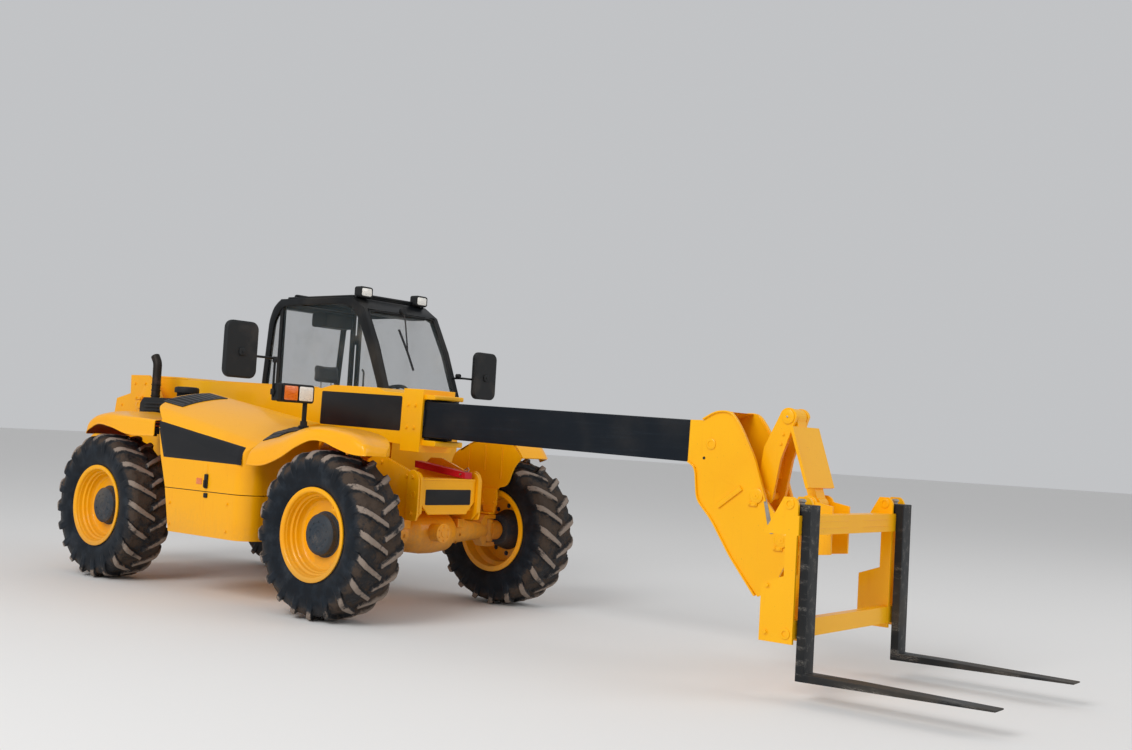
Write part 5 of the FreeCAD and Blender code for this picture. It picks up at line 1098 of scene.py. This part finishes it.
def make_pillar_cover():
    """The black frame round the right window, between two rounded lines, its rims bevelled."""
    outer = rounded([(0.372, 1.342), (0.372, 1.720), (0.422, 2.290), (0.472, 2.408),
                     (0.562, 2.478), (1.498, 2.478), (1.658, 2.379), (1.828, 2.069),
                     (1.988, 1.681), (2.008, 1.342)], 0.05, 8)
    inner = rounded([(0.428, 1.392), (0.428, 1.720), (0.484, 2.268), (0.540, 2.346),
                     (0.600, 2.420), (1.462, 2.420), (1.576, 2.342), (1.742, 2.042),
                     (1.914, 1.668), (1.940, 1.392)], 0.13, 8)
    share = np.array([0, 0, 0.12, 0.88, 1, 1])[:, None, None]
    across = np.array([0.2235, 0.2150, 0.2115, 0.2115, 0.2150, 0.2235])[:, None]
    flat = outer * (1 - share) + inner * share
    Form().add(on_axis("y", across, flat[..., 0], flat[..., 1]), round_rows=True).piece(
        "pillar_cover_right", CAB_BLACK, "chassis", sharp=25)


def make_roof_parts():
    """Two rails and three ribs on the roof."""
    rail = Form()
    rail.rod([(1.505, 0.262, 2.476), (1.505, 0.262, 2.506), (1.505, 1.058, 2.506),
              (1.505, 1.058, 2.476)], 0.012, (1, 0, 0), 0.03, 14)
    rail.rod([(0.66, 0.30, 2.498), (0.66, 0.30, 2.520), (0.66, 1.02, 2.520), (0.66, 1.02, 2.498)],
             0.010, (1, 0, 0), 0.03, 12)
    for y in (0.42, 0.66, 0.90):
        rail.box((0.74, 1.36), (y - 0.045, y + 0.045), (2.498, 2.509), 0.03, 0.004, "z")
    rail.piece("roof_rails", CAB_BLACK, "chassis")


def make_wiper():
    """Motor cap, arm and blade."""
    wiper = Form()
    wiper.turn([(0, 0), (0, 0.030), (0.030, 0.030), (0.036, 0.024), (0.036, 0)],
               (1.676, 0.640, 2.395), "x", 24)
    wiper.rod([(1.706, 0.640, 2.385), (1.742, 0.632, 2.300), (1.868, 0.560, 2.030)], 0.0065,
              (0, 1, 0), 0.03, 10)
    wiper.add(carried([(1.775, 0.530, 2.225), (1.868, 0.560, 2.030), (1.925, 0.585, 1.880)],
                      oblong(0.004, 0.010), (0, 1, 0), 0.01))
    wiper.piece("wiper", TRIM_BLACK, "chassis")


def make_lining():
    """The padded header behind the windscreen and the box at the rear of the roof, inside."""
    header = Form()
    header.box((1.40, 1.60), (0.30, 1.02), (2.355, 2.405), 0.02, 0.012)
    header.box((0.66, 0.86), (0.50, 0.82), (2.26, 2.39), 0.03, 0.012)
    header.piece("head_lining", TRIM_BLACK, "chassis")


def lamp_face(name, x, y, z, material, corner=0.012, lift=0.006):
    """A lamp glass: a slab with a rounded rim, set on a lamp's face."""
    Form().box((x - 0.001, x + lift), y, z, corner, 0.003, "x").piece(name, material, "chassis")


def make_lamps():
    """Glasses of the roof's lamps and of the two pairs in front, and the bezels round them."""
    for number, y in enumerate((0.33, 0.99)):
        lamp_face("work_lamp_glass_%d" % number, 1.560, (y - 0.056, y + 0.056), (2.494, 2.561),
                  CLEAR_LENS, 0.018)
        lamp_face("rear_work_lamp_%d" % number, 1.476, (y - 0.02, y + 0.02), (2.51, 2.55),
                  TRIM_BLACK, 0.008, 0.005)
    lamp_face("right_indicator", 2.1300, (-0.938, -0.810), (1.546, 1.654), AMBER_LENS)
    lamp_face("right_headlamp", 2.1300, (-0.796, -0.664), (1.546, 1.654), CLEAR_LENS)
    lamp_face("left_indicator", 2.0840, (0.988, 1.066), (1.452, 1.548), AMBER_LENS)
    lamp_face("left_headlamp", 2.0840, (0.856, 0.976), (1.452, 1.548), CLEAR_LENS)
    bezels = Form()
    for x, y0, y1, z0, z1 in ((2.132, -0.944, -0.803, 1.540, 1.660),
                              (2.132, -0.803, -0.658, 1.540, 1.660),
                              (2.086, 0.982, 1.072, 1.446, 1.554),
                              (2.086, 0.850, 0.982, 1.446, 1.554),
                              (1.562, 0.268, 0.392, 2.488, 2.567),
                              (1.562, 0.928, 1.052, 2.488, 2.567)):
        bezels.hoop([(x, y0, z0), (x, y1, z0), (x, y1, z1), (x, y0, z1)], oblong(0.003, 0.004),
                    (1, 0, 0), 0.016)
    bezels.piece("lamp_bezels", TRIM_BLACK, "chassis")


def make_mirrors():
    """Mirrors look back, so their glass is on the rear and the knob of the arm in front."""
    for tag, x, y in (("left", 2.030, 1.330), ("right", 2.065, -1.330)):
        glass = Form()
        glass.box((x - 0.002, x + 0.002), (y - 0.118, y + 0.118), (1.705, 2.070), 0.045, 0.001, "x")
        glass.piece("mirror_glass_" + tag, MIRROR, "chassis")
        knob = Form()
        knob.box((x + 0.048, x + 0.062), (y - 0.03, y + 0.03), (1.84, 1.90), 0.02, 0.006, "x")
        knob.bolts([(x + 0.061, y, 1.87)], 0.008, "x", 1)
        knob.piece("mirror_knob_" + tag, TRIM_BLACK, "chassis")


def make_bracket_cuffs():
    """Cuffs on the mirrors' arms, the foot of the lamp bracket and the box between its lamps."""
    cuffs = Form()
    for spot, axis in (((2.075, -1.000, 1.600), "z"), ((2.075, -1.000, 1.840), "z"),
                       ((1.985, 1.075, 1.87), "x")):
        cuffs.turn([(-0.022, 0), (-0.022, 0.016), (-0.018, 0.019), (0.018, 0.019),
                    (0.022, 0.016), (0.022, 0)], spot, axis, 24)
    cuffs.turn([(0, 0), (0, 0.040), (0.012, 0.040), (0.018, 0.028), (0.050, 0.026), (0.05, 0)],
               (2.090, -0.700, 1.345), "z", 32)
    cuffs.box((2.052, 2.128), (-0.996, -0.952), (1.535, 1.665), 0.012, 0.008)
    cuffs.piece("bracket_cuffs", TRIM_BLACK, "chassis")


def make_controls():
    """The lever with its knob beside the seat, the stalk at the wheel, and the door's grips."""
    stalk = Form()
    stalk.rod([(1.02, 0.50, 1.05), (1.04, 0.49, 1.22), (1.10, 0.49, 1.36)], 0.009, (0, 1, 0), 0.05)
    stalk.turn([(-0.034, 0), (-0.030, 0.018), (0, 0.026), (0.030, 0.022), (0.040, 0)],
               (1.10, 0.49, 1.375), "z", 24)
    stalk.rod([(1.26, 0.86, 1.42), (1.21, 0.93, 1.47)], 0.006, (0, 1, 0), sides=10)
    stalk.piece("control_levers", TRIM_BLACK, "chassis")
    handle = Form()
    handle.rod([(0.66, 1.150, 1.50), (0.66, 1.172, 1.52), (0.66, 1.172, 1.90), (0.66, 1.150, 1.92)],
               0.009, (1, 0, 0), 0.02)
    handle.turn([(0, 0), (0, 0.022), (0.006, 0.022), (0.010, 0.014), (0.010, 0)],
                (1.60, 1.136, 1.312), "y", 24)
    handle.piece("door_grips", TRIM_BLACK, "door")


for make in (make_window_seals, make_pillar_cover, make_roof_parts, make_wiper, make_lining,
             make_lamps, make_mirrors, make_bracket_cuffs, make_controls):
    make()


# Cover, chassis and rear

def make_cover_parts():
    """Latch with its hook, pull, reflector and seal of the cover, and the panel's bolts."""
    strap = Form()
    strap.box((1.492, 1.528), (-1.136, -1.118), (0.842, 0.950), 0.008, 0.005)
    strap.box((1.500, 1.520), (-1.148, -1.130), (0.850, 0.905), 0.006, 0.005)
    strap.piece("cover_latch", TRIM_BLACK, "hood")
    Form().box((1.488, 1.532), (-1.130, -1.118), (0.770, 0.806), 0.006, 0.004).piece(
        "latch_hook", TRIM_BLACK, "chassis")
    Form().add(slab([(1.488, 0.955), (1.516, 0.955), (1.512, 1.030), (1.494, 1.030)],
                    -1.1225, -1.1195, "y", 0.008, 0.001)).piece("cover_pull", RIM_YELLOW, "hood")
    Form().box((1.380, 1.450), (-1.1235, -1.119), (0.868, 0.915), 0.006, 0.0015).piece(
        "cover_reflector", AMBER_LENS, "hood")
    Form().rod([(0.985, -1.1150, 0.8155), (1.84, -1.1150, 0.8155), (1.985, -0.97, 0.8155),
                (1.985, -0.52, 0.8155)], 0.0032, (0, 0, 1), 0.13, 8).piece(
        "cover_seal", TRIM_BLACK, "chassis")
    Form().bolts([(x, -1.1205, z) for x, z in ((1.05, 0.700), (1.062, 0.535), (1.78, 0.535),
                                               (1.78, 0.74))], 0.009, "y", -1).piece(
        "panel_bolts", YELLOW, "chassis")


def make_front_parts():
    """The blank sign on the nose and the two folds above and below it."""
    Form().box((2.9838, 2.9868), (-0.245, 0.245), (0.822, 0.938), 0.012, 0.001, "x").piece(
        "front_sign", SIGN_BLACK, "chassis")
    fold = Form()
    for x, half, z in ((2.978, 0.21, 0.757), (2.981, 0.292, 1.012)):
        fold.rod([(x, -half, z), (x, half, z)], 0.008, (1, 0, 0))
    fold.piece("front_folds", YELLOW, "chassis")


def make_frame_bolts():
    """Bolts on the frame's side plates: along them, round the boom's pivot and behind it."""
    pivot_x, _, pivot_z = PIVOT
    along = ((2.95, 0.80), (2.95, 0.97), (2.86, 1.03), (2.58, 1.12), (2.44, 1.12), (2.90, 0.74),
             (2.62, 0.735), (1.62, 0.93), (1.40, 0.93), (0.62, 0.93), (0.62, 0.60))
    round_pivot = [(pivot_x + 0.095 * math.cos(a), pivot_z + 0.095 * math.sin(a))
                   for a in (0.6, 2.5, 4.0, 5.4)]
    behind = ((-0.62, 1.66), (-0.78, 1.66), (-0.98, 1.46), (-0.90, 1.30))
    bolts = Form()
    for side in (-1, 1):
        for group, size in ((along, 0.013), (round_pivot, 0.010), (behind, 0.010)):
            bolts.bolts([(x, side * FRAME_Y, z) for x, z in group], size, "y", side)
    bolts.piece("frame_bolts", YELLOW, "chassis")


def make_pivot_keepers():
    """The pivot pin's rings and the plates that keep it from turning."""
    pins = Form()
    for side in (-1, 1):
        pins.turn([(0, 0), (0, 0.040), (0.004, 0.040), (0.006, 0.036), (0.006, 0.018),
                   (0.002, 0.016), (0.002, 0)], (PIVOT[0], side * 0.340, PIVOT[2]), "y", 36, side)
        pins.box((-0.735, -0.625), span(side, 0.340, 0.350), (1.515, 1.545), 0.006, 0.002)
        pins.bolts([(x, side * 0.350, 1.53) for x in (-0.715, -0.645)], 0.009, "y", side)
    pins.piece("boom_pivot_keepers", YELLOW, "chassis")


def make_nose_plates():
    """The side plates of the nose, each with two bolts and a bushed eye."""
    plates = Form()
    for side in (-1, 1):
        plates.add(slab([(2.885, 0.705), (2.995, 0.705), (3.006, 0.760), (3.006, 1.010),
                         (2.985, 1.060), (2.935, 1.085), (2.885, 1.060)],
                        *span(side, 0.327, 0.347), "y", 0.018, 0.003))
        plates.bolts([(2.945, side * 0.347, z) for z in (1.030, 0.76)], 0.013, "y", side)
        plates.turn([(0, 0), (0, 0.026), (0.004, 0.026), (0.005, 0.023), (0.005, 0.015),
                     (0.001, 0.014), (0.001, 0)], (2.955, side * 0.3465, 0.90), "y", 28, side)
    plates.piece("nose_side_plates", YELLOW, "chassis")


def make_axle_fittings():
    """Caps over the kingpins, bolts round the axles' middles, and the noses' caps."""
    axle = Form()
    for x in (0.0, WHEELBASE):
        for side in (-1, 1):
            for z, way in ((0.725, 1), (0.475, -1)):
                axle.turn([(0, 0), (0, 0.043), (0.0025, 0.043), (0.005, 0.039), (0.005, 0)],
                          (x, side * 0.720, z - way * 0.0005), "z", 28, way)
            axle.bolts(circle(8, 0.094, "y", side * 0.30, 0.2) + (x, 0, AXLE_Z), 0.010, "y", side)
    axle.piece("axle_fittings", AXLE_ORANGE, "chassis")
    nose = Form()
    for x in (WHEELBASE + 0.25, 0.25):
        middle = (x, -0.05, 0.61)
        nose.turn([(0, 0), (0, 0.074), (0.006, 0.074), (0.010, 0.069), (0.010, 0.030),
                   (0.016, 0.026), (0.016, 0)], middle, "x", 40)
        nose.bolts(circle(6, 0.052, "x", 0.010) + middle, 0.0075, "x")
    nose.piece("axle_nose_caps", AXLE_ORANGE, "chassis")


def make_strut_pin():
    """The red strut's cross pin and its clip of bent wire."""
    strut = Form()
    strut.rod([(2.90, 0.252, 1.085), (2.935, 0.252, 1.11), (2.965, 0.240, 1.082),
               (2.93, 0.220, 1.078)], 0.004, (0.1, 0.2, 1), 0.018, 8)
    strut.turn([(-0.052, 0), (-0.052, 0.008), (0.052, 0.008), (0.052, 0)], (2.93, 0.220, 1.055),
               "y", 16)
    strut.piece("strut_pin", BARE_STEEL, "chassis")


def make_wing_ribs():
    """Ribs and the bolted plate on the inner side of the left front wing's cheek."""
    ribs = Form()
    for x, low in ((2.50, 1.02), (2.68, 1.08), (2.86, 1.02)):
        ribs.box((x - 0.009, x + 0.009), (0.7175, 0.7255), (low, 1.285), 0.004, 0.003)
    ribs.box((2.66, 2.84), (0.714, 0.7250), (0.80, 0.94), 0.012, 0.003)
    ribs.bolts([(x, 0.7145, z) for z in (0.83, 0.91) for x in (2.69, 2.81)], 0.010, "y", -1)
    ribs.piece("left_wing_ribs", YELLOW, "front_left_knuckle")


def make_cowl_louvre():
    """Slats over the cowl's side, on two upright bars."""
    louvre = Form()
    for z in np.arange(1.262, 1.478, 0.030):
        louvre.box((-0.12, 0.50), (-0.6515, -0.6385), (z, z + 0.017), 0.006, 0.005)
    for x in (0.05, 0.38):
        louvre.box((x, x + 0.02), (-0.6455, -0.6385), (1.255, 1.490), 0.004, 0.002)
    louvre.piece("cowl_louvre", TRIM_BLACK, "chassis")


def make_exhaust_parts():
    """The bent tail pipe and the bands round the upright pipe."""
    x, y = -0.29, -0.43
    pipe = 0.0385
    Form().rod([(x, y, 1.775), (x, y, 1.845), (-0.335, y, 1.905)], pipe, (0, 1, 0), 0.05, 28).piece(
        "exhaust_tail", EXHAUST_STEEL, "chassis")
    bands = Form()
    for z in np.arange(1.30, 1.70, 0.05):
        bands.add(turned([(-0.006, pipe), (-0.004, 0.0425), (0.004, 0.0425), (0.006, pipe)],
                         (x, y, z), "z", 32), round_rows=True)
    bands.piece("exhaust_bands", EXHAUST_STEEL, "chassis")


def make_tail_lamps():
    """A box on each side of the tail, with a red glass and an amber one."""
    boxes = Form()
    for side in (-1, 1):
        boxes.box((-1.118, -1.094), span(side, 0.36, 0.545), (0.860, 0.960), 0.014, 0.006, "x")
    boxes.piece("tail_lamp_boxes", TRIM_BLACK, "chassis")
    for side, tag in SIDES:
        for glass, near, material in (("red", 0.368, RED_LENS), ("amber", 0.456, AMBER_LENS)):
            Form().box((-1.124, -1.116), span(side, near, near + 0.08), (0.868, 0.952), 0.010, 0.003,
                       "x").piece("tail_%s_%s" % (glass, tag), material, "chassis")


def make_step_and_tank_cap():
    """Grip bars on the step, and the tank's cap."""
    step = Form()
    for y in np.arange(0.83, 1.05, 0.03):
        step.box((1.30, 1.38), (y, y + 0.012), (0.4995, 0.5035), 0.003, 0.0015, "z")
    step.piece("step_grips", BARE_STEEL, "chassis")
    cap = Form()
    cap.turn([(0, 0), (0, 0.045), (0.012, 0.047), (0.022, 0.045), (0.026, 0.038), (0.026, 0)],
             (1.00, 0.85, 0.744), "z", 36)
    cap.piece("tank_cap", TRIM_BLACK, "chassis")


def make_intake():
    """The intake's round hood on a ring of short posts."""
    middle = np.array([0.25, -0.48, 0])
    intake = Form()
    intake.turn([(0, 0), (0, 0.102), (0.010, 0.1035), (0.034, 0.1035), (0.046, 0.098),
                 (0.052, 0.080), (0.054, 0)], middle + (0, 0, 1.584), "z", 48)
    for spot in circle(24, 0.078, "z", 1.562) + middle:
        intake.turn([(-0.024, 0), (-0.024, 0.0045), (0.024, 0.0045), (0.024, 0)], spot, "z", 8)
    intake.piece("intake_hood", TRIM_BLACK, "chassis")


for make in (make_cover_parts, make_front_parts, make_frame_bolts, make_pivot_keepers,
             make_nose_plates, make_axle_fittings, make_strut_pin, make_wing_ribs,
             make_cowl_louvre, make_exhaust_parts, make_tail_lamps, make_step_and_tank_cap,
             make_intake):
    make()


# Seat

def apply_modifiers(thing):
    """Puts the modifiers' result into the mesh."""
    shown = bpy.context.evaluated_depsgraph_get()
    made = bpy.data.meshes.new_from_object(thing.evaluated_get(shown), depsgraph=shown)
    thing.modifiers.clear()
    thing.data = made


def places(thing):
    """A mesh's points as rows of x, y and z."""
    flat = np.empty(len(thing.data.vertices) * 3)
    thing.data.vertices.foreach_get("co", flat)
    return flat.reshape(-1, 3)


def cushion(name, outline, half, low, replaced=(), swell=0.018):
    """A padded form: the outline carried across. At the share t of the way out to either side
    it draws in towards its middle by 0.07 t^6. Cloth under light pressure then fills it; no
    point moves further than the swell or below the low height, and one subdivision rounds
    it."""
    line = rounded(outline, 0.028, 5)
    middle = line.mean(0)
    t = np.linspace(-1, 1, 22)
    pull = 1 - 0.07 * np.abs(t) ** 6
    flat = middle + (line - middle) * pull[:, None, None]
    grid = on_axis("y", (SEAT_Y + half * t)[:, None], flat[..., 0], flat[..., 1])
    thing = Form().add(grid).piece(name, SEAT_CLOTH, "chassis", *replaced, sharp=180)
    remesh = thing.modifiers.new("even", "REMESH")
    remesh.mode = "VOXEL"
    remesh.voxel_size = 0.008
    apply_modifiers(thing)
    start = places(thing)
    cloth = thing.modifiers.new("cloth", "CLOTH")
    cloth.settings.use_pressure = True
    cloth.settings.uniform_pressure_force = 4
    cloth.settings.effector_weights.gravity = 0
    for number in range(1, 21):
        scene.frame_set(number)
    apply_modifiers(thing)
    scene.frame_set(1)
    step = places(thing) - start
    length = np.linalg.norm(step, axis=1, keepdims=True)
    place = start + step * np.minimum(1, swell / np.maximum(length, 1e-9))
    place[:, 2] = np.maximum(place[:, 2], low)
    thing.data.vertices.foreach_set("co", place.ravel())
    thing.data.update()
    thing.data.shade_smooth()
    fine = thing.modifiers.new("fine", "SUBSURF")
    fine.levels = fine.render_levels = 1


def make_seat():
    """Cushion, back and head rest, with the posts, the arms and the piping."""
    cushion("seat_cushion", [(0.752, 1.102), (1.160, 1.104), (1.192, 1.135), (1.180, 1.178),
                             (1.120, 1.188), (0.90, 1.170), (0.752, 1.186)],
            0.222, 1.0915, ["seat"])
    cushion("seat_back", [(0.715, 1.215), (0.782, 1.215), (0.770, 1.300), (0.752, 1.420),
                          (0.722, 1.690), (0.690, 1.702), (0.655, 1.690), (0.690, 1.420)],
            0.212, 1.2015, ["seat"])
    cushion("head_rest", [(0.640, 1.765), (0.700, 1.765), (0.690, 1.905), (0.665, 1.925),
                          (0.630, 1.905)], 0.125, 1.75, swell=0.008)
    posts, arms, piping = Form(), Form(), Form()
    arms.box((0.775, 1.175), (SEAT_Y - 0.2, SEAT_Y + 0.2), (1.0895, 1.0995), 0.03, 0.003, "z")
    arm = rounded(oblong(0.012, 0.022), 0.008, 3)
    for side in (-1, 1):
        y = SEAT_Y + side * 0.06
        posts.rod([(0.670, y, 1.68), (0.668, y, 1.80)], 0.006, (0, 1, 0), sides=10)
        y = SEAT_Y + side * 0.262
        arms.add(carried([(0.72, y, 1.22), (0.71, y, 1.375), (1.02, y, 1.380)], arm, (0, 1, 0), 0.05))
        y = SEAT_Y + side * 0.208
        piping.rod([(0.790, y, 1.172), (0.90, y, 1.166), (1.08, y, 1.176), (1.16, y, 1.178)],
                   0.004, (0, 1, 0), sides=8)
    posts.piece("head_rest_posts", BARE_STEEL, "chassis")
    arms.piece("seat_arms", TRIM_BLACK, "chassis")
    piping.piece("seat_piping", TRIM_BLACK, "chassis")


make_seat()


# Floor and light

def light_the_yard():
    """A pale floor, a pale sky that lights from all round, and two broad soft lamps."""
    bpy.ops.mesh.primitive_plane_add(size=160, location=(0, 0, 0))
    floor = bpy.context.active_object
    floor.name = "floor"
    pale = bpy.data.materials.new("pale_floor")
    pale.use_nodes = True
    shader = pale.node_tree.nodes["Principled BSDF"]
    shader.inputs["Base Color"].default_value = (0.80, 0.79, 0.775, 1)
    shader.inputs["Roughness"].default_value = 0.9
    floor.data.materials.append(pale)
    world = bpy.data.worlds.new("sky")
    scene.world = world
    world.use_nodes = True
    sky = world.node_tree.nodes["Background"]
    sky.inputs["Color"].default_value = (0.96, 0.975, 1.0, 1)
    sky.inputs["Strength"].default_value = 0.56
    for name, spot, size, power in (("key", (1.5, -14.0, 11.0), 8.0, 1420),
                                    ("fill", (13.0, 7.0, 8.0), 9.0, 460)):
        lamp = bpy.data.lights.new(name, "AREA")
        lamp.size = size
        lamp.energy = power
        thing = bpy.data.objects.new(name, lamp)
        bpy.context.collection.objects.link(thing)
        thing.location = spot
        thing.rotation_mode = "QUATERNION"
        thing.rotation_quaternion = (Vector(spot) - Vector((0, 0, 1))).to_track_quat("Z", "Y")


light_the_yard()
